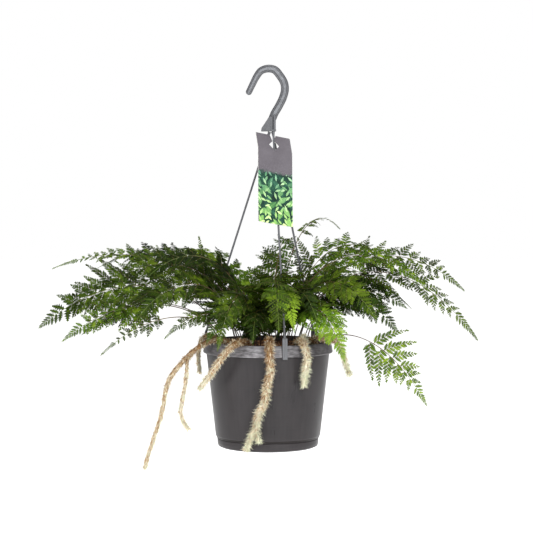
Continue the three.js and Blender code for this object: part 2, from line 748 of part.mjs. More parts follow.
// A creeping stem: its centre line in X, Y and Z, and its thickness from its root to its tip.
const RHIZOMES = {
  rhizome_left_long: {
    thick: [9, 9.5, 9, 8, 7, 6, 5, 2],
    line: [
      [-36, -40, -372.6], [-52, -42, -368.2], [-72, -46, -364.6], [-86, -54, -369], [-103, -58, -381],
      [-118, -60, -396], [-132, -62, -414], [-138, -62, -428], [-142, -62, -452], [-147, -61, -473],
      [-155, -60, -497], [-164, -59, -525], [-168, -58, -539],
    ],
    branches: [{
      thick: [5, 5.5, 5, 4.5, 2],
      line: [
        [-104, -58, -383], [-109, -66, -392], [-110, -70, -408], [-112, -72, -424], [-116, -73, -446],
        [-118, -73, -462], [-113, -73, -476], [-107, -72, -484],
      ],
    }],
  },
  rhizome_front_left: {
    thick: [9, 10.5, 10.5, 9, 7, 2.5],
    line: [
      [-22, -58, -373.2], [-31, -70, -366], [-40, -83, -365.2], [-51, -92, -372], [-61, -93, -384],
      [-71, -88, -398], [-80, -80, -412], [-89, -68, -424], [-93, -60, -430],
    ],
    branches: [],
  },
  rhizome_front: {
    thick: [9, 11, 11, 10.5, 10.5, 9, 7, 2.5],
    line: [
      [3, -58, -372.4], [3, -72, -364.8], [2, -86, -363.3], [2, -97, -371], [2, -97.6, -386],
      [3.5, -96, -402], [-2, -94, -424], [-4, -92.5, -442], [-13, -90, -463], [-17, -88, -482],
      [-24, -85, -496], [-30, -83, -511],
    ],
    branches: [{
      thick: [6, 4.5, 2],
      line: [[-17, -88, -480], [-13.5, -91, -490], [-12, -92, -499]],
    }],
  },
  rhizome_front_right: {
    thick: [8, 10, 10, 9.5, 8, 3],
    line: [
      [38, -46, -373.4], [41, -62, -366.4], [45, -76, -364.5], [49, -86, -371], [53, -86, -384],
      [51, -84, -400], [49, -82, -416], [49, -81, -424],
    ],
    branches: [],
  },
  rhizome_right_arch: {
    thick: [7, 9, 9, 8, 7, 5, 2],
    line: [
      [52, -30, -373.5], [62, -37, -366], [73, -45, -360.5], [86, -50, -362.5], [97, -54, -371],
      [103, -56, -386], [107, -57, -400], [111, -57, -412],
    ],
    branches: [],
  },
  rhizome_bud: {
    thick: [6, 5.5, 4, 2],
    line: [[57, -58, -377], [53, -59, -370.4], [50, -60, -362], [48.5, -60, -356]],
    branches: [],
  },
  rhizome_back_left: {
    thick: [7, 8, 7.5, 6, 4, 2],
    line: [
      [-60, 14, -375.1], [-72, 16, -366.5], [-84, 17, -364.7], [-92, 17, -369], [-96, 16, -380], [-97, 14, -398],
      [-95, 12, -416],
    ],
    branches: [],
  },
};

const RHIZOME = { sides: 6, step: 13, unevenness: 0.12 };

// A six-sided body along a curve, with its thickness eased from root to tip.
function creeping({ line, thick }, seed) {
  const draw = seeded(seed);
  const curve = new THREE.CatmullRomCurve3(line.map((p) => vec(...p)), false, "centripetal");
  const steps = Math.max(3, Math.round(curve.getLength() / RHIZOME.step));
  const frames = curve.computeFrenetFrames(steps, false);
  const points = [];
  const faces = [];
  for (let i = 0; i <= steps; i += 1) {
    const t = i / steps;
    const at = t * (thick.length - 1);
    const low = Math.min(Math.floor(at), thick.length - 2);
    const wide = THREE.MathUtils.lerp(thick[low], thick[low + 1], at - low) / 2;
    const centre = curve.getPointAt(t);
    for (let j = 0; j < RHIZOME.sides; j += 1) {
      const turn = ((j + 0.5 * (i % 2)) / RHIZOME.sides) * 2 * Math.PI;
      const radius = wide * (1 + RHIZOME.unevenness * (draw() - 0.5));
      points.push(centre.clone()
        .addScaledVector(frames.normals[i], radius * Math.cos(turn))
        .addScaledVector(frames.binormals[i], radius * Math.sin(turn)));
    }
  }
  const n = RHIZOME.sides;
  const first = points.push(curve.getPointAt(0).addScaledVector(frames.tangents[0], -0.5)) - 1;
  const last = points.push(curve.getPointAt(1).addScaledVector(frames.tangents[steps], 1.5)) - 1;
  for (let i = 0; i < steps; i += 1) {
    for (let j = 0; j < n; j += 1) {
      const a = i * n + j;
      const b = i * n + ((j + 1) % n);
      // Each ring is turned half a side on from the last, so the triangles lean each way in turn.
      if (i % 2 === 0) faces.push([a, b, a + n], [b, b + n, a + n]);
      else faces.push([a, b + n, a + n], [a, b, b + n]);
    }
  }
  for (let j = 0; j < n; j += 1) {
    faces.push([first, (j + 1) % n, j]);
    faces.push([last, steps * n + j, steps * n + ((j + 1) % n)]);
  }
  return closed(points, faces);
}

function rhizomeSolid(rhizome, seed) {
  let solid = solidOf(creeping(rhizome, seed));
  rhizome.branches.forEach((branch, i) => {
    solid = solid.add(solidOf(creeping(branch, seed + 50 + i)));
  });
  return solid;
}

// ---------------------------------------------------------------- the whole plant

const fixed = [];

function addSolid(name, solid, material) {
  fixed.push(boxed(solid));
  piece(name, geometryOf(solid), material);
}

addSolid("pot", potSolid(), FINISH.pot());
addSolid("potting_mix", mixSolid(), FINISH.mix());
addSolid("hanger_hook", hookSolid(), FINISH.hanger());
Object.keys(ARM.bearings).forEach((side) => {
  addSolid(`hanger_arm_${side}`, armSolid(side), FINISH.hanger());
});
addSolid("label", solidOf(labelGeometry()), FINISH.label());
Object.entries(RHIZOMES).forEach(([name, rhizome], i) => {
  addSolid(name, rhizomeSolid(rhizome, 300 + i), FINISH.rhizome());
});

const { ribs, grown } = growFronds(fixed);
FRONDS.forEach((frond, index) => {
  const name = `frond_${String(index + 1).padStart(2, "0")}`;
  piece(name, frondGeometry(ribs[index], grown[index]), FINISH[frond.tone]());
});

export default plant;
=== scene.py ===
"""Visual model of a hare's-foot fern in a hanging grower's pot.

Tables and fields are in millimetres, in the frame's axes: +Z up, the front towards -Y and the right-hand
side towards +X. The origin is the point inside the hook that bears on the rail. A bearing is in degrees
round +Z: 0 is the front, 90 the right, 180 the back and -90 the left.
"""

import logging
import math
from dataclasses import dataclass
from enum import Enum
from typing import Any, Iterable, Sequence

import bmesh
import bpy
import numpy as np
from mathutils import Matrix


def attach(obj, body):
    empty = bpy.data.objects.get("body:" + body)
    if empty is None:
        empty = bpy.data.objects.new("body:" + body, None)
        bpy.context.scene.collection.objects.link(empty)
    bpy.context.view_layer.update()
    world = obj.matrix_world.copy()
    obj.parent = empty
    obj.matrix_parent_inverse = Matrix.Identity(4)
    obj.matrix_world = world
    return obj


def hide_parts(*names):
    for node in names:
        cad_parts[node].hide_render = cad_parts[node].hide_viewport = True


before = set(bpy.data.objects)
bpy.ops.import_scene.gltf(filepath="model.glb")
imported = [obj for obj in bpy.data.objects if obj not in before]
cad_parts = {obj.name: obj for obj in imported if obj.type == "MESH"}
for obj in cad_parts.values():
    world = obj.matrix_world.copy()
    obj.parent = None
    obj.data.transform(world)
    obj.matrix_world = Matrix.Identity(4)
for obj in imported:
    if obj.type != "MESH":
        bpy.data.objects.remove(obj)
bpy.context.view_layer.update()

log = logging.getLogger("fern")

MM = 0.001
BAKE_MAP = "OFBake"
MARGIN = 0.004  # kept between parts of a bake map, and the height of a thin rod's strip in it

RIM_Z = -370.0
BASE_Z = RIM_Z - 147.0  # the pot's underside
HUB_Z = -80.3  # the hub's lower face
GAP = 0.3  # kept between pieces that touch
ROD_RADIUS = 1.4  # of the hanger's rods in the solids
MIX_EDGE = 84.16  # the potting mix's radius at its edge
MIX_DROP = 9.0  # how far that edge lies below the rim
MIX_CROWN = 4.0  # how far the mix's middle stands above its edge

Vec = np.ndarray
Socket = bpy.types.NodeSocket


class Slot(str, Enum):
    """The pieces' material slots."""

    POT = "pot_plastic"
    HANGER = "hanger_plastic"
    LABEL = "label_card"
    MIX = "potting_mix"
    RHIZOME = "rhizome_scales"
    DARK = "frond_dark"
    MID = "frond_mid"
    BRIGHT = "frond_bright"
    PALE = "frond_pale"


# ---------------------------------------------------------------- vectors, curves and draws


def polar(bearing: float, distance: float, z: float) -> Vec:
    """The point at a distance from the pot's axis, along a bearing."""
    turn = math.radians(bearing)
    return np.array([distance * math.sin(turn), -distance * math.cos(turn), z])


def unit(v: Vec) -> Vec:
    """Vectors brought to a length of one."""
    return v / np.maximum(np.linalg.norm(v, axis=-1, keepdims=True), 1e-12)


def spun(v: Vec, axis: Vec, angle: Any) -> Vec:
    """Vectors turned about unit axes.

    Args:
        v: the vectors, in rows.
        axis: their axes, in rows or one for all.
        angle: in radians, one for each row or one for all.

    Returns:
        The turned vectors.
    """
    c = np.cos(angle)[..., None]
    s = np.sin(angle)[..., None]
    along = (v * axis).sum(-1, keepdims=True)
    return v * c + np.cross(axis, v) * s + axis * along * (1 - c)


def smoothstep(x: Vec, low: float, high: float) -> Vec:
    """An S-shaped rise from 0 at low to 1 at high."""
    t = np.clip((x - low) / (high - low), 0, 1)
    return t * t * (3 - 2 * t)


def first_draw(seed: int) -> float:
    """The draw from 0 to 1 that sets a stem's place in the solids.

    Args:
        seed: the stem's seed.

    Returns:
        The draw.
    """
    mask = 0xFFFFFFFF
    state = (seed + 0x6D2B79F5) & mask
    t = ((state ^ (state >> 15)) * (1 | state)) & mask
    t = (t + ((t ^ (t >> 7)) * (61 | t))) & mask ^ t
    return ((t ^ (t >> 14)) & mask) / 2 ** 32


def mix_height(distance: Any) -> Any:
    """The height of the potting mix at a distance from the axis, before its lumps."""
    return RIM_Z - MIX_DROP + MIX_CROWN * (1 - (np.asarray(distance) / MIX_EDGE) ** 2)


class Way:
    """A curve in space, addressed by its share of arc length."""

    LOOK = 0.006  # the share to either side over which a heading is taken
    CURVE_STEPS = 241  # points on a cubic curve
    SPAN_STEPS = 25  # points from one spot to the next

    def __init__(self, points: Vec) -> None:
        """Measures a curve.

        Args:
            points: the curve's points, in rows.
        """
        self.points = points
        steps = np.linalg.norm(np.diff(points, axis=0), axis=1)
        self.marks = np.concatenate([[0.0], np.cumsum(steps)])
        self.length = float(self.marks[-1])

    def at(self, share: Any) -> Vec:
        """The points at shares of the length, in rows."""
        s = np.clip(np.atleast_1d(share), 0, 1) * self.length
        return np.stack([np.interp(s, self.marks, self.points[:, i]) for i in range(3)], -1)

    def heading(self, share: Any) -> Vec:
        """The directions that the curve runs in at shares of its length."""
        s = np.atleast_1d(share)
        return unit(self.at(np.minimum(s + self.LOOK, 1)) - self.at(np.maximum(s - self.LOOK, 0)))

    @classmethod
    def bezier(cls, a: Vec, b: Vec, c: Vec, d: Vec) -> "Way":
        """A cubic curve from its four corners."""
        t = np.linspace(0, 1, cls.CURVE_STEPS)[:, None]
        return cls((1 - t) ** 3 * a + 3 * (1 - t) ** 2 * t * b + 3 * (1 - t) * t * t * c + t ** 3 * d)

    @classmethod
    def through(cls, spots: Sequence[Sequence[float]]) -> "Way":
        """A smooth centripetal curve through its spots.

        Args:
            spots: the spots, from its start to its end.

        Returns:
            The curve.
        """
        p = np.array(spots, float)
        p = np.concatenate([[2 * p[0] - p[1]], p, [2 * p[-1] - p[-2]]])
        gaps = np.linalg.norm(np.diff(p, axis=0), axis=1) ** 0.5
        t = np.linspace(0, 1, cls.SPAN_STEPS)[:, None]
        rise = 3 * t ** 2 - 2 * t ** 3
        parts = []
        for i in range(1, len(p) - 2):
            g0, g1, g2 = gaps[i - 1], gaps[i], gaps[i + 1]
            m0 = g1 * ((p[i] - p[i - 1]) / g0 - (p[i + 1] - p[i - 1]) / (g0 + g1) + (p[i + 1] - p[i]) / g1)
            m1 = g1 * ((p[i + 1] - p[i]) / g1 - (p[i + 2] - p[i]) / (g1 + g2) + (p[i + 2] - p[i + 1]) / g2)
            run = (
                (2 * t ** 3 - 3 * t ** 2 + 1) * p[i] + (t ** 3 - 2 * t ** 2 + t) * m0
                + rise * p[i + 1] + (t ** 3 - t ** 2) * m1
            )
            parts.append(run if i == 1 else run[1:])
        return cls(np.concatenate(parts))


def ring_frames(points: Vec, start: Vec) -> tuple[Vec, Vec, Vec]:
    """Frames along a line of points that don't twist.

    Args:
        points: the line, in rows.
        start: any direction that isn't along its first step.

    Returns:
        The ways that it runs, and two directions square to them, in rows.
    """
    ways = unit(np.gradient(points, axis=0))
    normals = np.empty_like(ways)
    last = start
    for i, way in enumerate(ways):
        last = unit(last - way * (last @ way))
        normals[i] = last
    return ways, normals, np.cross(ways, normals)


def band(rings: int, sides: int) -> tuple[Vec, Vec, Vec, Vec]:
    """The cells of a closed band of rings.

    Args:
        rings: how many rings it has.
        sides: how many points a ring has.

    Returns:
        For each cell its row, its side, and the two points of it on the lower ring.
    """
    i, j = (part.ravel() for part in np.meshgrid(np.arange(rings - 1), np.arange(sides), indexing="ij"))
    return i, j, i * sides + j, i * sides + (j + 1) % sides


def between(line: Vec, at: Vec) -> Vec:
    """The points of a line at places counted in its steps.

    Args:
        line: the line's points, in rows.
        at: the places, counted in steps from its start.

    Returns:
        The points, in rows.
    """
    low = at.astype(int)
    part = (at - low)[:, None]
    return line[low] * (1 - part) + line[low + 1] * part


def cells(count: int) -> tuple[Vec, int]:
    """The corners of a count of cells in a square grid of side 1, and how many there are on a side."""
    side = math.ceil(math.sqrt(count))
    return np.stack([np.arange(count) % side, np.arange(count) // side], 1) / side, side


# ---------------------------------------------------------------- meshes


class Shell:
    """Collects the points and faces of one mesh, with the values that its finishes read."""

    def __init__(self, *values: str) -> None:
        """Starts an empty mesh.

        Args:
            *values: the names of the values that its finishes read.
        """
        self.names = values
        self.parts: dict[str, list[Vec]] = {
            key: [] for key in (*values, "points", "rims", "loops", "maps", "sizes", "slots", "smooth")
        }
        self.count = 0

    def add(self, points: Vec, faces: Any, uv: Vec | None = None, slot: int = 0, smooth: bool = True,
            rim: Vec | None = None, **values: Any) -> None:
        """Adds a body or a batch of bodies.

        Args:
            points: the points in millimetres, in rows.
            faces: the corners of each face, in rows of one length.
            uv: the place of each corner in the bake map, in the shape of faces with pairs.
            slot: which of the mesh's finishes the faces have.
            smooth: whether the faces are shaded as one round surface.
            rim: which points lie on a sharp outline.
            **values: the finishes' values, one for each point or one for all.
        """
        faces = np.asarray(faces, np.int64)
        n, m = len(points), len(faces)
        blank = np.full((*faces.shape, 2), 0.001)
        new = {name: np.broadcast_to(np.asarray(values.get(name, 0.0), float), (n,)) for name in self.names}
        new.update(
            points=np.asarray(points, float), rims=np.zeros(n, bool) if rim is None else rim,
            loops=(faces + self.count).ravel(), maps=(blank if uv is None else np.asarray(uv)).reshape(-1, 2),
            sizes=np.full(m, faces.shape[1]), slots=np.full(m, slot), smooth=np.full(m, smooth),
        )
        for key, part in new.items():
            self.parts[key].append(part)
        self.count += n

    def mesh(self, name: str, mapped: bool = False) -> bpy.types.Mesh:
        """The mesh in metres, with a bake map where mapped is set.

        Args:
            name: the mesh's name.
            mapped: whether it has a bake map.

        Returns:
            The mesh.
        """
        mesh = bpy.data.meshes.new(name)
        whole = {key: np.concatenate(parts) for key, parts in self.parts.items()}
        mesh.vertices.add(len(whole["points"]))
        mesh.vertices.foreach_set("co", (whole["points"] * MM).ravel())
        mesh.loops.add(len(whole["loops"]))
        mesh.loops.foreach_set("vertex_index", whole["loops"])
        mesh.polygons.add(len(whole["sizes"]))
        mesh.polygons.foreach_set("loop_start", np.concatenate([[0], np.cumsum(whole["sizes"])[:-1]]))
        mesh.polygons.foreach_set("material_index", whole["slots"])
        mesh.polygons.foreach_set("use_smooth", whole["smooth"])
        mesh.update(calc_edges=True)
        if mapped:
            layer = mesh.uv_layers.new(name=BAKE_MAP)
            layer.data.foreach_set("uv", whole["maps"].ravel())
        for key in self.names:
            layer = mesh.attributes.new(key, "FLOAT", "POINT")
            layer.data.foreach_set("value", whole[key])
        if whole["rims"].any():
            ends = np.empty(2 * len(mesh.edges), np.int32)
            mesh.edges.foreach_get("vertices", ends)
            sharp = whole["rims"][ends.reshape(-1, 2)].all(axis=1)
            layer = mesh.attributes.new("sharp_edge", "BOOLEAN", "EDGE")
            layer.data.foreach_set("value", sharp)
        mesh.validate()
        return mesh


@dataclass
class Patch:
    """A rectangle of the bake map."""

    left: float
    low: float
    right: float
    high: float

    def spread(self, uv: Vec) -> Vec:
        """Pairs of shares across and up the rectangle as places in the map."""
        return np.array([self.left, self.low]) + np.array([self.right - self.left, self.high - self.low]) * uv


def tube(points: Vec, radii: Vec, sides: int, start: Vec) -> tuple[Vec, Vec, Vec, Vec]:
    """A round body along a line, closed to a point at both ends.

    Args:
        points: the line, in rows.
        radii: its radius at each point of the line, for all sides or for each.
        sides: how many sides it has.
        start: the direction of its first side.

    Returns:
        The points, the triangles, the map shares of their corners, and each point's share along it.
    """
    n = len(points)
    _, normals, seconds = ring_frames(points, start)
    turn = np.arange(sides) * 2 * math.pi / sides
    radii = np.broadcast_to(np.asarray(radii, float).reshape(n, -1), (n, sides))
    rings = points[:, None] + radii[..., None] * (
        normals[:, None] * np.cos(turn)[:, None] + seconds[:, None] * np.sin(turn)[:, None]
    )
    spots = np.concatenate([rings.reshape(-1, 3), points[:1], points[-1:]])
    i, j, a, b = band(n, sides)
    faces = np.concatenate([np.stack([a, b, b + sides], 1), np.stack([a, b + sides, a + sides], 1)])
    u0, u1, v0, v1 = i / (n - 1), (i + 1) / (n - 1), j / sides, (j + 1) / sides
    uv = np.concatenate([
        np.stack([np.stack([u0, u0, u1], 1), np.stack([v0, v1, v1], 1)], -1),
        np.stack([np.stack([u0, u1, u1], 1), np.stack([v0, v1, v0], 1)], -1),
    ])
    k = np.arange(sides)
    on, top = (k + 1) % sides, (n - 1) * sides
    first = np.stack([np.full(sides, n * sides), on, k], 1)
    last = np.stack([np.full(sides, n * sides + 1), top + k, top + on], 1)
    caps = np.zeros((sides, 3, 2))
    caps[:, 1, 1] = (k + 1) / sides
    caps[:, 2, 1] = k / sides
    ends = caps.copy()
    ends[..., 0] = 1
    share = np.concatenate([np.repeat(np.linspace(0, 1, n), sides), [0, 1]])
    return spots, np.concatenate([faces, first, last]), np.concatenate([uv, caps, ends]), share


def add_prism(shell: Shell, outline: Sequence[Sequence[float]], depth: float, ease: float,
              axes: Vec = np.eye(3)) -> None:
    """Adds a flat outline in X and Z that is given a depth about Y, with its long edges eased.

    Args:
        shell: the mesh that it goes into.
        outline: the corners of the outline, counterclockwise seen from -Y.
        depth: how deep it is.
        ease: how much the edges are cut back.
        axes: where its own X, Y and Z point, in rows.
    """
    flat = np.array(outline, float)
    n = len(flat)
    before = unit(flat - np.roll(flat, 1, axis=0))
    after = unit(np.roll(flat, -1, axis=0) - flat)
    normal = unit(np.stack([before[:, 1] + after[:, 1], -before[:, 0] - after[:, 0]], 1))
    inset = flat - ease * normal
    half = depth / 2
    rings = [(inset, -half), (flat, ease - half), (flat, half - ease), (inset, half)]
    points = np.concatenate([np.stack([r[:, 0], np.full(n, y), r[:, 1]], 1) for r, y in rings])
    points = points[:, :1] * axes[0] + points[:, 1:2] * axes[1] + points[:, 2:] * axes[2]
    _, _, a, b = band(len(rings), n)
    k = np.arange(n)
    for faces in (np.stack([a, b, b + n, a + n], 1)[:, ::-1], k[None], (3 * n + k)[None, ::-1]):
        shell.add(points, faces)


def rounded(corners: Sequence[tuple[float, float, float]], steps: int = 4) -> Vec:
    """An outline with its corners eased.

    Args:
        corners: each corner's two places and the radius of its arc.
        steps: how many points an arc has.

    Returns:
        The outline's points, in rows.
    """
    spots = np.array([corner[:2] for corner in corners], float)
    made = [spots[0]]
    for i in range(1, len(spots) - 1):
        radius = corners[i][2]
        here = spots[i]
        back, on = spots[i - 1] - here, spots[i + 1] - here
        lengths = np.linalg.norm(back), np.linalg.norm(on)
        back, on = back / lengths[0], on / lengths[1]
        half = 0.5 * math.acos(max(-1.0, min(1.0, float(back @ on))))
        # An arc takes at most 0.45 of the side on either hand.
        reach = min(radius / math.tan(half), 0.45 * lengths[0], 0.45 * lengths[1]) if radius else 0
        if reach < 1e-3:
            made.append(here)
            continue
        a, b = here + back * reach, here + on * reach
        for t in np.linspace(0, 1, steps):
            made.append((1 - t) ** 2 * a + 2 * t * (1 - t) * here + t * t * b)
    made.append(spots[-1])
    return np.array(made)


def lathe(outline: Vec, sides: int) -> tuple[Vec, Vec, Vec]:
    """A body turned about the pot's axis from an outline that starts and ends on it.

    Args:
        outline: the radius and height of each point, from the underside's middle round to the inside's.
        sides: how many sides it has.

    Returns:
        The points, the faces with four corners each, and the map shares of the corners.
    """
    n = len(outline)
    turn = np.arange(sides) * 2 * math.pi / sides
    radius = np.maximum(outline[:, :1], 1e-3)
    points = np.stack([
        radius * np.sin(turn), -radius * np.cos(turn), np.broadcast_to(outline[:, 1:], (n, sides)),
    ], -1)
    i, j, a, b = band(n, sides)
    faces = np.stack([a, b, b + sides, a + sides], 1)
    marks = np.concatenate([[0], np.cumsum(np.linalg.norm(np.diff(outline, axis=0), axis=1))])
    marks /= marks[-1]
    u0, u1, v0, v1 = j / sides, (j + 1) / sides, marks[i], marks[i + 1]
    uv = np.stack([np.stack([u0, u1, u1, u0], 1), np.stack([v0, v0, v1, v1], 1)], -1)
    return points.reshape(-1, 3), faces, uv


# ---------------------------------------------------------------- node materials


def linear(colour: str) -> tuple[float, float, float, float]:
    """A hex colour of the screen as linear light.

    Args:
        colour: the hex colour.

    Returns:
        Red, green, blue and an alpha of one.
    """
    parts = [int(colour[i:i + 2], 16) / 255 for i in (1, 3, 5)]
    red, green, blue = [c / 12.92 if c <= 0.04045 else ((c + 0.055) / 1.055) ** 2.4 for c in parts]
    return red, green, blue, 1.0


def per_metre(size: float) -> float:
    """The scale of a pattern whose features are a size in millimetres."""
    return 1000.0 / size


def feed(tree: bpy.types.NodeTree, socket: Socket, value: Any) -> None:
    """Sets a node's input, or links it to the output that feeds it.

    Args:
        tree: the node tree.
        socket: the input.
        value: its value, or the output that feeds it.
    """
    if isinstance(value, Socket):
        tree.links.new(value, socket)
    else:
        socket.default_value = value


def add_node(tree: bpy.types.NodeTree, kind: str, inputs: dict[Any, Any] | None = None,
             **settings: Any) -> bpy.types.Node:
    """Adds a node.

    Args:
        tree: the node tree that it goes into.
        kind: its Blender type.
        inputs: for each input, its value or the output that feeds it.
        **settings: the node's own settings.

    Returns:
        The node.
    """
    node = tree.nodes.new(kind)
    for key, value in settings.items():
        setattr(node, key, value)
    for key, value in (inputs or {}).items():
        feed(tree, node.inputs[key], value)
    return node


class Surface:
    """The node tree of one material, with the few patterns that the finishes share."""

    def __init__(self, name: str, roughness: float, ior: float = 1.5) -> None:
        """Starts a material with a plain shader.

        Args:
            name: the material's name.
            roughness: how matt it is.
            ior: its index of refraction.
        """
        self.material = bpy.data.materials.new(name)
        self.material.use_nodes = True
        self.tree = self.material.node_tree
        self.tree.nodes.clear()
        self.shader = add_node(self.tree, "ShaderNodeBsdfPrincipled", {"Roughness": roughness, "IOR": ior})
        add_node(self.tree, "ShaderNodeOutputMaterial", {"Surface": self.shader.outputs[0]})
        self.place = add_node(self.tree, "ShaderNodeTexCoord").outputs["Object"]

    def value(self, name: str) -> Socket:
        """A value that the mesh holds for each point."""
        return add_node(self.tree, "ShaderNodeAttribute", attribute_name=name).outputs["Fac"]

    def vector(self, kind: str, a: Any, b: Any) -> Socket:
        """A calculation on two vectors."""
        return add_node(self.tree, "ShaderNodeVectorMath", {0: a, 1: b}, operation=kind).outputs[0]

    def noise(self, size: float, detail: float = 2.0, stretch: Sequence[float] | None = None) -> Socket:
        """Soft random patches of a size in millimetres, stretched by three factors.

        Args:
            size: how wide the patches are.
            detail: how many finer layers they have.
            stretch: a factor for X, Y and Z, of which a small one draws the patches out.

        Returns:
            The pattern, from 0 to 1.
        """
        where = self.vector("MULTIPLY", self.place, stretch) if stretch else self.place
        return add_node(self.tree, "ShaderNodeTexNoise", {
            "Vector": where, "Scale": per_metre(size), "Detail": detail, "Roughness": 0.55,
        }).outputs[0]

    def maths(self, kind: str, a: Any, b: Any = 0.5, c: Any = 0.5) -> Socket:
        """A calculation on one, two or three values."""
        return add_node(self.tree, "ShaderNodeMath", {0: a, 1: b, 2: c}, operation=kind).outputs[0]

    def span(self, source: Any, low: float, high: float, to_low: float = 0.0,
             to_high: float = 1.0) -> Socket:
        """A value stretched from one range to another and kept within it.

        Args:
            source: the value.
            low: where its range starts.
            high: where its range ends.
            to_low: what low becomes.
            to_high: what high becomes.

        Returns:
            The new value.
        """
        return add_node(self.tree, "ShaderNodeMapRange", {
            "Value": source, "From Min": low, "From Max": high, "To Min": to_low, "To Max": to_high,
        }).outputs[0]

    def blend(self, factor: Any, *colours: Any) -> Socket:
        """Two colours, each a socket or a hex colour, mixed by a factor.

        Args:
            factor: the share of the second.
            *colours: the two colours.

        Returns:
            The colour.
        """
        a, b = (linear(colour) if isinstance(colour, str) else colour for colour in colours)
        return add_node(self.tree, "ShaderNodeMix", {0: factor, 6: a, 7: b}, data_type="RGBA",
                        clamp_result=True).outputs[2]

    def ramp(self, factor: Any, stops: Iterable[tuple[float, str]]) -> Socket:
        """Colours along a value, from pairs of a place and a hex colour.

        Args:
            factor: the value.
            stops: the pairs, from the lowest place up.

        Returns:
            The colour.
        """
        node = add_node(self.tree, "ShaderNodeValToRGB", {"Fac": factor})
        elements = node.color_ramp.elements
        for index, (place, colour) in enumerate(stops):
            element = elements[index] if index < 2 else elements.new(place)
            element.position = place
            element.color = linear(colour)
        return node.outputs[0]

    def bump(self, height: Any, depth: float, strength: float = 1.0) -> None:
        """Fine relief, from a height of 0 to 1 over a depth in millimetres.

        Args:
            height: the height.
            depth: how far 1 stands above 0.
            strength: how much of it shows.
        """
        node = add_node(self.tree, "ShaderNodeBump", {
            "Height": height, "Distance": depth * MM, "Strength": strength,
        })
        self.dress("Normal", node.outputs[0])

    def dress(self, name: str, value: Any) -> None:
        """Feeds one of the shader's inputs, by a link or by its own value."""
        feed(self.tree, self.shader.inputs[name], value)


@dataclass(frozen=True)
class LeafFinish:
    """Thin waxy leaf tissue of one of the four greens."""

    name: str
    deep: str
    body: str
    light: str
    vein: str

    def make(self) -> bpy.types.Material:
        """Builds the material.

        Returns:
            The material.
        """
        surface = Surface(self.name, 0.42, 1.42)
        surface.dress("Specular IOR Level", 0.07)
        # Each leaflet has a tone of its own, so the frond reads as many small blades.
        tone = self.tone(surface)
        green = surface.ramp(tone, [(0.0, self.deep), (0.45, self.body), (1.0, self.light)])
        # The midrib catches the eye as a thin paler line.
        vein = surface.span(surface.value("vein"), 0.55, 1.0, 0.0, 0.45)
        veined = surface.blend(vein, green, self.vein)
        # The underside of a blade is duller and paler than its upper side.
        under = surface.maths("MULTIPLY", surface.value("under"), 0.35)
        surface.dress("Base Color", surface.blend(under, veined, self.body))
        # A broken sheen of about 2 mm, where the wax is uneven.
        surface.dress("Roughness", surface.span(surface.noise(2.0), 0.3, 0.7, 0.34, 0.55))
        return surface.material

    @staticmethod
    def tone(surface: Surface) -> Socket:
        """The leaflet's tone with the painted light towards the right-hand side, its age along the frond and
        drifts of about 40 mm, as one value.

        Args:
            surface: the material's surface.

        Returns:
            The value.
        """
        drift = surface.span(surface.noise(40.0), 0.3, 0.7, -0.14, 0.14)
        aged = surface.maths("MULTIPLY_ADD", surface.value("leaf_age"), 0.16, surface.value("leaf_tone"))
        return surface.maths("ADD", aged, drift)


@dataclass(frozen=True)
class StemFinish:
    """Wiry stem bark: dark brown in the mix, greener up the frond."""

    name: str = "fern_stem_smooth_bark"

    def make(self) -> bpy.types.Material:
        """Builds the material.

        Returns:
            The material.
        """
        surface = Surface(self.name, 0.38, 1.45)
        # Long thin streaks run up the stem and keep it from looking like wire.
        streak = surface.noise(1.5, 2.0, (1.0, 1.0, 0.12))
        shade = surface.maths("ADD", surface.value("along"), surface.span(streak, 0.3, 0.7, -0.08, 0.08))
        colour = surface.ramp(shade, [
            (0.0, "#352016"), (0.4, "#4b3326"), (0.62, "#51421f"), (0.82, "#4a531f"), (1.0, "#5a6f2a"),
        ])
        surface.dress("Base Color", colour)
        return surface.material


@dataclass(frozen=True)
class RhizomeFinish:
    """The rhizome's skin and its hairs, from rusty at the root to pale green at the growing tip."""

    name: str
    # how far the colour is darkened to dark brown; on the skin this is a painted shade for the gaps between
    # the hairs
    shade: float

    def make(self) -> bpy.types.Material:
        """Builds the material.

        Returns:
            The material.
        """
        surface = Surface(self.name, 0.75, 1.45)
        tone = surface.maths("MULTIPLY_ADD", surface.value("hair_tone"), 0.28, surface.value("ripeness"))
        drift = surface.span(surface.noise(7.0), 0.3, 0.7, -0.2, 0.2)
        colour = surface.ramp(surface.maths("ADD", tone, drift), [
            (0.0, "#6f4624"), (0.16, "#9c7444"), (0.32, "#b5986c"), (0.52, "#d2c1a2"), (0.8, "#e9e1ce"),
            (1.0, "#cfd2b6"),
        ])
        # Dark flecks of old scales, 1.6 mm wide so that they still show.
        flecks = surface.span(surface.noise(1.6, 1.0), 0.60, 0.72, 0.0, 0.7)
        flecked = surface.blend(flecks, colour, "#6b4426")
        # The skin is painted darker, a painted shade where the gaps between the hairs fall.
        surface.dress("Base Color", surface.blend(self.shade, flecked, "#3a2413"))
        return surface.material


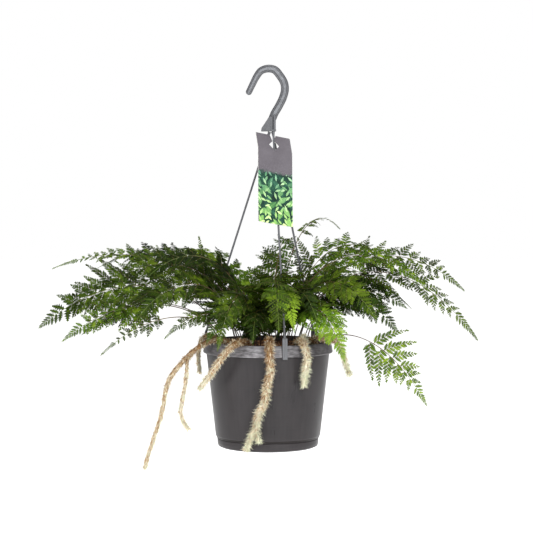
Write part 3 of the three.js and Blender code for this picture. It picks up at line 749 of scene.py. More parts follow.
@dataclass(frozen=True)
class MouldedPlastic:
    """Injection-moulded polypropylene with a soft, slightly streaked gloss."""

    name: str
    body: str
    light: str
    # the pale of worn edges, which also serves as a painted highlight
    wear_and_highlight_colour: str
    deep: str
    gloss: float
    mirror: float

    def make(self) -> bpy.types.Material:
        """Builds the material.

        Returns:
            The material.
        """
        surface = Surface(self.name, self.gloss, 1.49)
        surface.dress("Specular IOR Level", self.mirror)
        # Flow streaks run up the wall, and clouds of about 60 mm keep a large face from looking flat.
        streak = surface.noise(5.0, 3.0, (1.0, 1.0, 0.06))
        cloud = surface.noise(60.0, 2.0)
        mix = surface.maths("MULTIPLY_ADD", cloud, 0.6, surface.maths("MULTIPLY", streak, 0.4))
        base = surface.blend(surface.span(mix, 0.36, 0.64), self.body, self.light)
        # Turning marks ring the wall, 2 mm apart so that they still show.
        rings = surface.noise(2.0, 1.0, (0.02, 0.02, 1.0))
        base = surface.blend(surface.span(rings, 0.35, 0.65, 0.0, 0.18), base, self.light)
        # Painted wear and highlight: worn edges are painted pale with scratches across them, and the same
        # pale paint stands in for a highlight on the pot's collar front and the hook's ridge.
        scratch = surface.span(surface.noise(2.4, 3.0, (0.25, 0.25, 1.0)), 0.35, 0.65, 0.25, 1.0)
        rubbed = surface.maths("MULTIPLY", surface.value("rubbed"), scratch)
        base = surface.blend(rubbed, base, self.wear_and_highlight_colour)
        # Painted shade: grooves, inner corners and the hook's flanks are painted dark.
        base = surface.blend(surface.value("recess"), base, self.deep)
        surface.dress("Base Color", base)
        surface.dress("Roughness", surface.span(mix, 0.35, 0.65, self.gloss - 0.07, self.gloss + 0.1))
        # The mould's grain, 5 mm wide so that it still shows.
        surface.bump(surface.noise(5.0, 1.0), 0.04, 0.3)
        return surface.material


@dataclass(frozen=True)
class PrintedCard:
    """Coated card, offset printed with a warm grey field over a bed of leaf shapes."""

    name: str = "label_card_offset_printed"
    print_top: float = 0.57  # how far up the card the picture reaches
    upright: float = 2.42  # the card's height over its width

    def make(self) -> bpy.types.Material:
        """Builds the material.

        Returns:
            The material.
        """
        surface = Surface(self.name, 0.3, 1.5)
        up = surface.value("print_v")
        plate = add_node(surface.tree, "ShaderNodeCombineXYZ", {
            0: surface.value("print_u"), 1: surface.maths("MULTIPLY", up, self.upright),
        }).outputs[0]
        # Two layers of pointed leaf shapes: wide dark ones behind, narrow bright ones in front.
        ground = surface.ramp(surface.span(self._cloud(surface, plate, 5.0), 0.3, 0.7), [
            (0.0, "#122420"), (0.6, "#1f4034"), (1.0, "#33604a"),
        ])
        # The leaves are sea green at the top of the picture and lime at its foot.
        uneven = surface.maths("MULTIPLY_ADD", self._cloud(surface, plate, 3.0), 0.5, up)
        low = surface.span(uneven, 0.8, 0.3)
        for count, slim, turn, dark, pale in (
            (3.6, 0.26, 0.9, ("#284f42", "#4a7f66"), ("#447643", "#8fbd66")),
            (6.5, 0.20, 3.7, ("#41755d", "#88b391"), ("#7cac58", "#cfe79e")),
        ):
            shape, tone = self._leaves(surface, plate, count, slim, turn)
            sea = surface.ramp(tone, [(0.0, dark[0]), (1.0, dark[1])])
            lime = surface.ramp(tone, [(0.0, pale[0]), (1.0, pale[1])])
            ground = surface.blend(shape, ground, surface.blend(low, sea, lime))
        # The picture fades up into the plain field.
        wave = surface.maths("MULTIPLY_ADD", self._cloud(surface, plate, 9.0), 0.10, -0.05)
        level = surface.maths("ADD", up, wave)
        field = surface.span(level, self.print_top - 0.03, self.print_top + 0.01)
        plain = surface.ramp(self._cloud(surface, plate, 1.5), [(0.3, "#565257"), (0.7, "#625e63")])
        face = surface.blend(field, ground, plain)
        # The back and the cut edge are bare card.
        back = surface.value("bare")
        surface.dress("Base Color", surface.blend(back, face, "#c9c7c2"))
        surface.dress("Roughness", surface.span(back, 0.0, 1.0, 0.28, 0.7))
        return surface.material

    @staticmethod
    def _cloud(surface: Surface, plate: Socket, scale: float) -> Socket:
        """Soft patches over the card, in features across its width.

        Args:
            surface: the material's surface.
            plate: the place on the card.
            scale: how many patches there are across it.

        Returns:
            The pattern.
        """
        return add_node(surface.tree, "ShaderNodeTexNoise", {
            "Vector": plate, "Scale": scale, "Detail": 3.0,
        }).outputs[0]

    @staticmethod
    def _leaves(surface: Surface, plate: Socket, count: float, slim: float, turn: float
                ) -> tuple[Socket, Socket]:
        """A layer of pointed shapes, one in each cell, each turned its own way.

        Args:
            surface: the material's surface.
            plate: the place on the card.
            count: how many cells there are across the card.
            slim: half of a shape's width, in cells.
            turn: shifts the draw of the cells.

        Returns:
            Where there is a shape, and its tone.
        """
        tree = surface.tree
        moved = surface.vector("ADD", plate, (turn, 0.4 * turn, 0.0))
        cell = add_node(tree, "ShaderNodeTexVoronoi", {"Vector": moved, "Scale": count, "Randomness": 0.9},
                        voronoi_dimensions="2D")
        offset = surface.vector("SUBTRACT", moved, cell.outputs["Position"])
        parts = add_node(tree, "ShaderNodeSeparateXYZ", {0: cell.outputs["Color"]})
        angle = surface.maths("MULTIPLY_ADD", parts.outputs[0], 2.6, 0.3)
        turned = add_node(tree, "ShaderNodeVectorRotate", {"Vector": offset, "Angle": angle},
                          rotation_type="Z_AXIS").outputs[0]
        local = add_node(tree, "ShaderNodeSeparateXYZ", {0: turned})
        # Half of a shape's length and of its width are 0.62 and slim, in cells.
        length, width = (surface.maths("MULTIPLY", surface.maths("ABSOLUTE", local.outputs[i]), count / half)
                         for i, half in enumerate((0.62, slim)))
        edge = surface.maths("ADD", surface.maths("POWER", length, 1.4), width)
        inside = surface.span(edge, 1.04, 0.96)
        vein = surface.span(width, 0.05, 0.2, 0.25, 0.0)
        tone = surface.maths("ADD", parts.outputs[1], vein)
        return inside, tone


@dataclass(frozen=True)
class PottingMixFinish:
    """Damp peat with bark: nearly black in the hollows, rusty on the chips."""

    name: str = "potting_mix_damp_peat"

    def make(self) -> bpy.types.Material:
        """Builds the material.

        Returns:
            The material.
        """
        surface = Surface(self.name, 0.92, 1.4)
        # Crumbs of about 2 mm over patches of about 15 mm.
        crumb = surface.maths("MULTIPLY_ADD", surface.noise(2.0, 3.0), 0.5,
                              surface.maths("MULTIPLY", surface.noise(15.0), 0.5))
        base = surface.ramp(surface.span(crumb, 0.3, 0.7), [
            (0.0, "#1b120c"), (0.5, "#38271b"), (1.0, "#5a4230"),
        ])
        chips = surface.ramp(surface.value("chip"), [
            (0.0, "#2b1d13"), (0.4, "#5b3d26"), (0.8, "#80583a"), (1.0, "#a07a55"),
        ])
        surface.dress("Base Color", surface.blend(surface.value("is_chip"), base, chips))
        return surface.material


@dataclass(frozen=True)
class StudioPaper:
    """Matt white studio paper."""

    name: str = "studio_paper_matt_white"
    colour: str = "#f7f7f7"
    glow: float = 0.9

    def make(self) -> bpy.types.Material:
        """Builds the material.

        Returns:
            The material.
        """
        surface = Surface(self.name, 0.95, 1.3)
        # A drift of under one per cent, so that the paper isn't a flat fill.
        tone = surface.span(surface.noise(300.0), 0.3, 0.7)
        surface.dress("Base Color", surface.blend(tone, self.colour, "#f9f9f9"))
        surface.dress("Specular IOR Level", 0.0)
        # The paper is lit through from below, which keeps it white.
        surface.dress("Emission Color", linear("#ffffff"))
        surface.dress("Emission Strength", self.glow)
        return surface.material


# ---------------------------------------------------------------- pieces


def enter(name: str, data: bpy.types.ID) -> bpy.types.Object:
    """Brings a mesh, lamp or camera into the scene under a name.

    Args:
        name: the object's name.
        data: what it holds.

    Returns:
        The object.
    """
    thing = bpy.data.objects.new(name, data)
    bpy.context.scene.collection.objects.link(thing)
    return thing


def smooth_by_angle(mesh: bpy.types.Mesh, limit: float) -> None:
    """Shades a mesh smooth, with a hard line wherever its faces meet at more than a limit in degrees.

    Args:
        mesh: the mesh.
        limit: the angle.
    """
    work = bmesh.new()
    work.from_mesh(mesh)
    for face in work.faces:
        face.smooth = True
    for edge in work.edges:
        edge.smooth = len(edge.link_faces) == 2 and edge.calc_face_angle(0) < math.radians(limit)
    work.to_mesh(mesh)
    work.free()


def put(shell: Shell, node: str, materials: Sequence[bpy.types.Material], mapped: bool = False,
        crease: float | None = None) -> bpy.types.Object:
    """Places a piece of the object.

    Args:
        shell: its points and faces.
        node: the frame's node that it stands for.
        materials: its finishes, in the order of the faces' slots.
        mapped: whether it has a bake map of its own.
        crease: the angle in degrees beyond which its faces meet in a hard line.

    Returns:
        The piece.
    """
    name = f"fine_{node}"
    mesh = shell.mesh(name, mapped)
    if crease is not None:
        smooth_by_angle(mesh, crease)
    for material in materials:
        mesh.materials.append(material)
    piece = enter(name, mesh)
    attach(piece, "root")
    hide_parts(node)
    log.info("%s: %d faces", name, len(mesh.polygons))
    return piece


# ---------------------------------------------------------------- the fronds


@dataclass(frozen=True)
class LeafPattern:
    """A leaflet of length 1 along X, cut into lobes, as a thin closed blade.

    Its outline is shared by its upper and its lower side, and its midrib stands a little proud.
    """

    outline: tuple[tuple[float, float], ...]  # from the base to the tip, along one side, without the ends
    mid: tuple[float, ...]  # the points of the midrib between the ends
    rib: float = 0.035  # half of the blade's thickness at the foot of the midrib
    thinning: float = 0.6  # how much of that is gone at the tip

    def build(self) -> tuple[Vec, Vec, Vec, Vec, Vec, Vec]:
        """Makes the blade.

        Returns:
            Its points, triangles, map places, and for each point whether it lies on the outline,
            on the midrib and on the lower side.
        """
        n, m = len(self.outline), len(self.mid)
        left, right = ([(x, sign * y, 0.0) for x, y in self.outline] for sign in (1, -1))
        ridge = [(x, self.rib * (1 - self.thinning * x)) for x in self.mid]
        top, low = ([(x, 0.0, sign * z) for x, z in ridge] for sign in (1, -1))
        points = np.array([(0.0, 0.0, 0.0), (1.0, 0.0, 0.0), *left, *right, *top, *low])
        left_at, right_at, top_at, low_at = 2, 2 + n, 2 + 2 * n, 2 + 2 * n + m
        faces = []
        for side_at, sign in ((left_at, 1), (right_at, -1)):
            for mid_at, face in ((top_at, 1), (low_at, -1)):
                for tri in self._side(side_at, mid_at):
                    faces.append(tri if sign * face > 0 else tri[::-1])
        faces = np.array(faces)
        lower = np.isin(faces, np.arange(low_at, low_at + m)).any(axis=1)
        # The upper side takes one half of a cell of the bake map and the lower side the other.
        uv = np.stack([0.04 + 0.92 * points[faces, 0], 0.25 + 0.85 * points[faces, 1]], -1)
        uv[lower, :, 1] += 0.5
        rim = np.zeros(len(points), bool)
        rim[:top_at] = True
        vein, under = np.zeros((2, len(points)))
        vein[[0, 1]] = 1
        vein[top_at:] = 1
        under[low_at:] = 1
        return points, faces, uv, rim, vein, under

    def _side(self, side_at: int, mid_at: int) -> list[tuple[int, int, int]]:
        """The triangles of one half of one face, from the base to the tip.

        Args:
            side_at: the number of the outline's first point.
            mid_at: the number of the midrib's first point.

        Returns:
            The points of each triangle.
        """
        chain = [0, *range(mid_at, mid_at + len(self.mid)), 1]
        # The outline goes by turns over a lobe's tip and into a notch, and each notch has a midrib point.
        tris = []
        here = 0
        for k in range(1, len(self.outline), 2):
            spot = side_at + k
            tris.append((chain[here], spot, spot - 1))
            tris.append((chain[here], chain[here + 1], spot))
            here += 1
            if k + 1 < len(self.outline):
                tris.append((chain[here], spot + 1, spot))
        tris.append((chain[here], 1, side_at + len(self.outline) - 1))
        return tris


FEATHERED = LeafPattern(
    outline=(
        (0.13, 0.17), (0.20, 0.07), (0.31, 0.28), (0.36, 0.08), (0.49, 0.29), (0.53, 0.08), (0.65, 0.23),
        (0.69, 0.07), (0.79, 0.16), (0.83, 0.05), (0.91, 0.09),
    ),
    mid=(0.18, 0.34, 0.51, 0.67, 0.82),
)
LOBED = LeafPattern(
    outline=(
        (0.16, 0.22), (0.27, 0.11), (0.44, 0.30), (0.51, 0.12), (0.69, 0.22), (0.74, 0.09), (0.89, 0.10),
    ),
    mid=(0.26, 0.50, 0.74),
)
SIMPLE = LeafPattern(outline=((0.33, 0.25), (0.48, 0.14), (0.74, 0.17)), mid=(0.45,))


class Leaves:
    """The leaflets of one frond, gathered and then written as one batch."""

    FIELDS = ("spot", "ahead", "face", "length", "width", "arch", "cup", "tone", "age")

    def __init__(self) -> None:
        """Starts with no leaflets."""
        self.rows: dict[str, list[Any]] = {key: [] for key in self.FIELDS}

    def add(self, **row: Any) -> None:
        """Adds leaflets, with an array of one length for every field."""
        for key in self.FIELDS:
            self.rows[key].append(np.asarray(row[key], float))

    def write(self, shell: Shell, slot: int, room: Patch) -> None:
        """Writes the leaflets into a mesh and lays them out over a part of its bake map.

        Args:
            shell: the mesh.
            slot: which of its finishes they have.
            room: the part of the bake map.
        """
        data = {key: np.concatenate(rows) for key, rows in self.rows.items()}
        size = data["length"]
        corners, grid = cells(len(size))
        # The longer a leaflet is, the more lobes it has.
        for pattern, least, most in ((FEATHERED, 8.5, 99.0), (LOBED, 5.0, 8.5), (SIMPLE, 0.0, 5.0)):
            pick = np.flatnonzero((size >= least) & (size < most))
            if len(pick):
                chosen = {key: values[pick] for key, values in data.items()}
                self._batch(shell, slot, room, pattern, chosen, corners[pick], grid)

    @staticmethod
    def _batch(shell: Shell, slot: int, room: Patch, pattern: LeafPattern, data: dict[str, Vec],
               cell: Vec, grid: int) -> None:
        """Writes the leaflets of one pattern.

        Args:
            shell: the mesh.
            slot: which of its finishes they have.
            room: the part of the bake map.
            pattern: their shape.
            data: their fields.
            cell: the corner of each one's cell in the room.
            grid: how many cells there are on a side.
        """
        points, faces, uv, rim, vein, under = pattern.build()
        n, k = len(data["length"]), len(points)
        ahead = unit(data["ahead"])
        across = unit(np.cross(data["face"], ahead))
        up = np.cross(ahead, across)
        x = np.broadcast_to(points[:, 0], (n, k))
        y = points[:, 1] * data["width"][:, None]
        z = points[:, 2] - data["arch"][:, None] * x ** 2 + data["cup"][:, None] * np.abs(y)
        local = x[..., None] * ahead[:, None] + y[..., None] * across[:, None] + z[..., None] * up[:, None]
        placed = data["spot"][:, None] + data["length"][:, None, None] * local
        corners = faces[None] + (np.arange(n) * k)[:, None, None]
        places = cell[:, None, None] + uv[None] / grid
        shell.add(
            placed.reshape(-1, 3), corners.reshape(-1, 3), room.spread(places).reshape(-1, 3, 2), slot,
            rim=np.tile(rim, n), vein=np.tile(vein, n), under=np.tile(under, n),
            leaf_tone=np.repeat(data["tone"], k), leaf_age=np.repeat(data["age"], k),
        )


@dataclass(frozen=True)
class FrondPlan:
    """One row for each frond, as in the solids."""

    bearing: float  # where its tip points
    reach: float  # how far its tip is from the pot's axis
    crest: float  # the height of its arch above the rim
    tip: float  # the height of its tip above the rim
    root: float  # how far from the axis its stem stands
    share: float  # how much of its length bears leaflets
    spread: float  # the length of its longest side branch
    roll: float  # how far its face turns to the left
    tone: Slot

    @property
    def sag(self) -> float:
        """How many degrees further its side branches hang than those of a long frond at the front.

        Returns:
            The degrees, below 0 for a broad frond.
        """
        short = max(0.0, 1 - self.reach / 230)
        behind = max(0.0, -math.cos(math.radians(self.bearing)))
        broad = max(0, self.spread - 66)
        return 50 * short + 6 * behind - 0.9 * broad


FRONDS = tuple(FrondPlan(*row) for row in (
    (-100, 310, 119, 97, 40, 0.50, 34, 24, Slot.BRIGHT),
    (-116, 276, 120, 94, 52, 0.55, 60, 12, Slot.DARK),
    (-80, 316, 86, 22, 58, 0.64, 82, 34, Slot.MID),
    (-70, 292, 62, 8, 62, 0.55, 56, 48, Slot.BRIGHT),
    (-96, 262, 54, 6, 64, 0.50, 46, 25, Slot.DARK),
    (-59, 256, 43, -7, 60, 0.42, 24, 40, Slot.MID),
    (-49, 180, 46, 14, 46, 0.60, 28, 30, Slot.MID),
    (-129, 236, 110, 86, 34, 0.64, 68, 8, Slot.MID),
    (-143, 256, 123, 92, 44, 0.58, 62, -8, Slot.BRIGHT),
    (-157, 232, 100, 62, 50, 0.68, 68, 6, Slot.PALE),
    (-171, 244, 74, 30, 62, 0.72, 70, -10, Slot.MID),
    (-134, 226, 70, 34, 66, 0.70, 60, -10, Slot.DARK),
    (-88, 232, 112, 70, 28, 0.70, 68, 26, Slot.MID),
    (-64, 196, 88, 36, 38, 0.72, 68, 35, Slot.MID),
    (-78, 168, 122, 90, 18, 0.70, 58, 22, Slot.DARK),
    (-34, 144, 58, 8, 36, 0.74, 56, 26, Slot.DARK),
    (-23, 168, 78, 2, 46, 0.72, 62, 16, Slot.MID),
    (-8, 144, 54, 10, 50, 0.74, 58, 6, Slot.DARK),
    (4, 198, 102, 30, 38, 0.72, 88, 0, Slot.BRIGHT),
    (13, 152, 78, 26, 58, 0.60, 44, -6, Slot.PALE),
    (37, 168, 56, -16, 52, 0.62, 54, -24, Slot.PALE),
    (30, 130, 78, 36, 34, 0.74, 56, -12, Slot.DARK),
    (50, 186, 92, 40, 34, 0.70, 68, -30, Slot.MID),
    (60, 200, 70, 20, 54, 0.66, 60, -32, Slot.DARK),
    (65, 234, 12, -78, 72, 0.56, 56, -54, Slot.BRIGHT),
    (74, 222, 126, 78, 22, 0.70, 68, -28, Slot.BRIGHT),
    (84, 290, 107, 2, 40, 0.60, 66, -26, Slot.MID),
    (80, 192, 72, 48, 62, 0.58, 50, -34, Slot.DARK),
    (99, 281, 124, 66, 44, 0.54, 56, -36, Slot.MID),
    (112, 222, 84, 38, 56, 0.70, 64, -14, Slot.DARK),
    (123, 224, 136, 90, 32, 0.70, 70, -16, Slot.BRIGHT),
    (142, 244, 100, 56, 50, 0.70, 66, 4, Slot.MID),
    (148, 200, 164, 150, 24, 0.34, 20, 0, Slot.MID),
    (162, 232, 74, 26, 60, 0.72, 64, 8, Slot.DARK),
    (176, 210, 118, 84, 36, 0.70, 64, 0, Slot.MID),
    (166, 160, 140, 112, 16, 0.60, 58, 0, Slot.DARK),
))


@dataclass(frozen=True)
class Habit:
    """How one frond differs from the others."""

    open: float = 0.0  # 1 is the airiest, with few, large leaflets and a slim end
    tone: float = 0.0  # how much yellower it is
    sag: float = 0.0  # how much further its side branches hang, in degrees


PLAIN = Habit()
HABITS = {
    1: Habit(0.5, 0.1), 2: Habit(0.2), 3: Habit(0.0, 0.1), 4: Habit(0.3), 6: Habit(0.6, 0.0, -20),
    9: Habit(0.2, 0.1), 13: Habit(0.0, 0.1), 15: Habit(0.2), 16: Habit(0.0, 0.4), 19: Habit(0.0, -0.45),
    20: Habit(0.0, 0.5, -10), 25: Habit(0.7, -0.05), 26: Habit(0.5, -0.25), 27: Habit(0.8, -0.1),
    29: Habit(0.8, -0.1), 31: Habit(0.6, -0.25), 33: Habit(1.0), 35: Habit(0.5, 0.2, -18),
    36: Habit(1.0, 0.3, -45),
}  # by the fronds' numbers


@dataclass(frozen=True)
class FrondForm:
    """What all the fronds share."""

    hole_depth: float = 7.7  # how far the stem stands in the mix
    straight: float = 1.2  # how far up it is straight
    swing: float = 10.0  # the range, in degrees, over which stems stand off their fronds' bearings
    stem_radius: float = 0.9
    stem_taper: float = 0.38  # the share of that which is gone where the leafy part starts
    rib_taper: float = 0.28  # how many millimetres more are gone at the frond's tip
    branch_radii: tuple[float, float] = (0.34, 0.13)  # a side branch's rib, at its foot and at its tip
    branch_steps: int = 12  # along a side branch
    uneven: float = 0.07  # the spread of the stem's thickness from point to point
    thinnest: float = 0.2
    leafy_most: float = 0.91  # how much of a frond may bear leaflets
    leafy_more: float = 0.32  # how much more than its share does, before and behind the pot
    angle: float = 60.0  # between the rib and a side branch
    teeth: float = 0.29  # between the leaflets of the narrow end, over their length
    tooth: float = 1.25  # the least between them
    slender: float = 0.6  # how much slimmer the end of an open frond is
    twist: float = 0.8  # how much further the frond's face turns by its tip, over its roll
    lift: float = 6.0  # how far a side branch starts out above the frond's face
    droop: float = 28.0  # how far a side branch turns down by its tip
    stiff: float = 0.6  # how much of that the fronds to the left and right hold up
    curtain: float = 70.0  # how much more the lowest ones turn down, before and behind the pot
    bend: float = 12.0  # how far it turns towards the frond's tip
    branch_pitch: float = 13.0  # between side branches, before they close up
    narrow: float = 45.0  # below this spread they stand closer
    airy: float = 0.35  # how much wider apart they stand on an open frond
    pairs: tuple[int, int] = (5, 15)  # the least and the most of them on one side
    leaf_pitch: float = 2.8  # the least between leaflets on one side of a side branch
    crowding: float = 0.34  # that pitch over the length of the first leaflet
    leaf_angle: float = 50.0  # between a side branch and a leaflet
    fill: float = 0.66  # half of a side branch's width over the distance to the next
    single: float = 10.0  # a side branch shorter than this is one leaflet
    tone: float = 0.42  # the leaflets' middle tone, from 0 for the deepest green to 1 for the lightest
    end_tone: float = 0.4  # and that of the narrow end
    tones: float = 0.14  # its spread from one side branch to the next
    point: float = 0.74  # where along the leafy part the narrow end starts, which has no side branches
    end: float = 0.985  # where along it the last leaflet stands


FORM = FrondForm()
PAINTED_LIGHT_TOWARDS_RIGHT = 0.2  # painted light: how much yellower and lighter the leaflets are painted towards the right-hand side, and how much darker towards the left
PAINTED_LIGHT_REACH = 300.0  # and how far out they are so
STEM_SEED = 900  # of the draws that set the stems' places in the solids
FROND_SEED = 7000
RHIZOME_SEED = 300
STEM_ROOM = 0.03  # how much of a frond's bake map the stem takes
BRANCH_ROOM = 0.12  # where in it the side branches end and the leaflets start


class Frond:
    """One frond: its wiry stem, its rib and its side branches with their leaflets.

    A place t is a share of the leafy part, and a place s a share of the whole frond's length.
    """

    def __init__(self, plan: FrondPlan, index: int) -> None:
        """Works out the frond's curve and how many side branches it has.

        Args:
            plan: its row of measures.
            index: its place among the fronds, from 0.
        """
        self.plan = plan
        self.index = index
        self.habit = HABITS.get(index + 1, PLAIN)
        self.draw = np.random.default_rng(FROND_SEED + index)
        swing = FORM.swing * (first_draw(STEM_SEED + index) - 0.5)
        foot = polar(plan.bearing + swing, plan.root, mix_height(plan.root))
        tip = polar(plan.bearing, plan.reach, RIM_Z + plan.tip)
        # The curve's inner corners stand so high that its middle comes up to the crest.
        pull = (RIM_Z + plan.crest - 0.125 * (foot[2] + tip[2])) / 0.75
        first = foot + 0.12 * (tip - foot)
        second = foot + 0.6 * (tip - foot)
        first[2] = foot[2] + 0.8 * (pull - foot[2])
        second[2] = pull
        self.foot = foot
        self.way = Way.bezier(foot, first, second, tip)
        facing = math.cos(math.radians(plan.bearing)) ** 2
        self.bare = 1 - min(FORM.leafy_most, plan.share * (1 + FORM.leafy_more * facing))
        self.leafy = 1 - self.bare
        self.run = self.leafy * self.way.length
        # Side branches stand closer on a narrow frond, and less so on an open one.
        narrow = min(1.0, max(0.5, plan.spread / FORM.narrow)) ** (1 - 0.5 * self.habit.open)
        apart = FORM.branch_pitch * (1 + FORM.airy * self.habit.open) * narrow
        self.pairs = int(np.clip(round(FORM.point * self.run / apart), *FORM.pairs))
        self.leaves = Leaves()
        self.shell = Shell("leaf_tone", "leaf_age", "vein", "under", "along")

    def frames(self, share: Any) -> tuple[Vec, Vec, Vec, Vec]:
        """The spots, ways, right-hand sides and upper faces at shares of the frond's length.

        Args:
            share: the shares.

        Returns:
            The four, in rows.
        """
        s = np.atleast_1d(share)
        way = self.way.heading(s)
        level = polar(self.plan.bearing - 90, 1, 0)
        side = unit(level - way * (way @ level)[:, None])
        # The face turns up to its roll along the stem, and further to the light towards the frond's tip.
        turn = smoothstep(s, 0.25 * self.bare, self.bare) + FORM.twist * smoothstep(s, self.bare, 1)
        side = spun(side, way, -math.radians(self.plan.roll) * turn)
        return self.way.at(s), way, side, np.cross(side, way)

    def build(self, leaf: bpy.types.Material, stem: bpy.types.Material) -> bpy.types.Object:
        """Builds the frond and places it.

        Args:
            leaf: the leaflets' finish.
            stem: the stem's finish.

        Returns:
            The piece.
        """
        self._stem()
        for t, sign in self._branches():
            self._branch(t, sign)
        self._point()
        self.leaves.write(self.shell, 1, Patch(0.0, BRANCH_ROOM, 1.0, 1.0))
        return put(self.shell, f"frond_{self.index + 1:02d}", [stem, leaf], mapped=True)

    def _stem(self) -> None:
        """The stem and rib, from its hole in the mix to the frond's tip."""
        s = np.linspace(0.02, 1, 56)
        low = [self.foot - [0, 0, FORM.hole_depth], self.foot + [0, 0, FORM.straight]]
        points = np.concatenate([low, self.way.at(s)])
        share = np.concatenate([[0, 0.01], s])
        taper = np.clip(share / max(self.bare, 0.2), 0, 1)
        radii = FORM.stem_radius * (1 - FORM.stem_taper * taper)
        radii = radii - FORM.rib_taper * smoothstep(share, self.bare, 1)
        radii = radii * (1 + FORM.uneven * self.draw.standard_normal(len(radii)))
        # Its colour runs a little ahead of its share of the length.
        self._rod(points, np.maximum(radii, FORM.thinnest), 8, share ** 0.8, Patch(0, 0, 1, STEM_ROOM))

    def _rod(self, points: Vec, radii: Vec, sides: int, along: Vec, room: Patch) -> None:
        """A thin round body along a line, coloured by its place along the frond.

        Args:
            points: the line, in rows.
            radii: its radius at each point.
            sides: how many sides it has.
            along: the place along the frond of each point.
            room: its part of the bake map.
        """
        spots, faces, uv, _ = tube(points, radii, sides, polar(self.plan.bearing + 90, 1, 0.1))
        tones = np.concatenate([np.repeat(along, sides), [along[0], along[-1]]])
        self.shell.add(spots, faces, room.spread(uv), 0, along=tones)

    def _share(self, t: Any) -> Any:
        """The place s of a place t; places crowd a little towards the frond's tip."""
        return self.bare + self.leafy * t ** 0.92

    def _branches(self) -> list[tuple[float, int]]:
        """The place t at which each side branch grows, and on which side.

        Returns:
            Pairs of a place and a sign, which is 1 on the right and -1 on the left.
        """
        # The second one of a pair stands 0.3 of a step above the first, and steps are wider at the foot.
        return [
            (FORM.point * (1 - (1 - (j + 0.15 + 0.3 * (sign < 0)) / (self.pairs + 0.35)) ** 1.15), sign)
            for j in range(self.pairs) for sign in (1, -1)
        ]

    def _length(self, t: Any) -> Any:
        """How long the side branches or single leaflets are; an open frond has a slimmer end.

        Args:
            t: their places.

        Returns:
            Their lengths.
        """
        slim = FORM.slender * self.habit.open
        # They shorten nearly evenly to 0.03 of the spread, and on an open frond more slowly near its tip.
        end = 0.2 * slim
        return self.plan.spread * (0.03 + end * (1 - t) ** 0.5 + (0.97 - end) * (1 - t) ** (1.12 + slim))

    def _branch(self, t: float, sign: int) -> None:
        """One side branch with its own rib and leaflets.

        Args:
            t: where it grows.
            sign: 1 on the right and -1 on the left.
        """
        plan, draw = self.plan, self.draw
        (spot,), (way,), (side,), (face,) = self.frames(self._share(t))
        angle = math.radians(FORM.angle - 5 * t + draw.normal(0, 3))
        lift = math.radians(draw.normal(FORM.lift, 10))
        along = sign * side * math.sin(angle) + way * math.cos(angle)
        across = np.cross(face, along)
        normal = face * math.cos(lift) - along * math.sin(lift)
        along = along * math.cos(lift) + face * math.sin(lift)
        length = self._length(t) * (1 + draw.normal(0, 0.06))
        # Painted light: leaflets towards the right-hand side are painted yellower and lighter.
        tone = FORM.tone + self.habit.tone + PAINTED_LIGHT_TOWARDS_RIGHT * float(spot[0]) / PAINTED_LIGHT_REACH + draw.normal(0, FORM.tones)
        if length < FORM.single:
            self.leaves.add(
                spot=[spot], ahead=[along], face=[normal], length=[length], width=[1.1],
                arch=[0.2], cup=[0.1], tone=[tone], age=[t],
            )
            return
        steps = FORM.branch_steps
        tau = (np.arange(steps) + 0.5) / steps
        # They hang less on the fronds to the left and right. On the others the lowest ones hang most.
        sideways = math.sin(math.radians(plan.bearing)) ** 2
        low = FORM.curtain * max(0.0, 1 - t / 0.5) * (1 - sideways)
        droop = FORM.droop * (1 - FORM.stiff * sideways) + plan.sag + self.habit.sag + low
        drop = (math.radians(droop + draw.normal(0, 8)) * tau)[:, None]
        sway = (sign * math.radians(FORM.bend + draw.normal(0, 5)) * tau)[:, None]
        ways = along * np.cos(drop) - normal * np.sin(drop)
        faces = normal * np.cos(drop) + along * np.sin(drop)
        sides = across * np.cos(sway) - ways * np.sin(sway)
        ways = ways * np.cos(sway) + across * np.sin(sway)
        line = np.concatenate([[spot], spot + np.cumsum(ways * length / steps, axis=0)])
        row = STEM_ROOM + (BRANCH_ROOM - STEM_ROOM) * t
        self._rod(line, np.linspace(*FORM.branch_radii, steps + 1), 4, np.full(steps + 1, 0.45 + 0.4 * t),
                  Patch(0, row, 1, row + MARGIN))
        self._leaflets(t, length, line, ways, sides, faces, tone)

    def _leaflets(self, t: float, length: float, line: Vec, ways: Vec, sides: Vec, faces: Vec,
                  tone: float) -> None:
        """The leaflets along one side branch, in turn to its left and right, and the one at its end.

        Args:
            t: where the side branch grows.
            length: how long it is.
            line: its points, in rows.
            ways: the direction of each of its steps.
            sides: the direction to the right of each step.
            faces: the direction that each step's leaflets face.
            tone: the tone that they share.
        """
        draw = self.draw
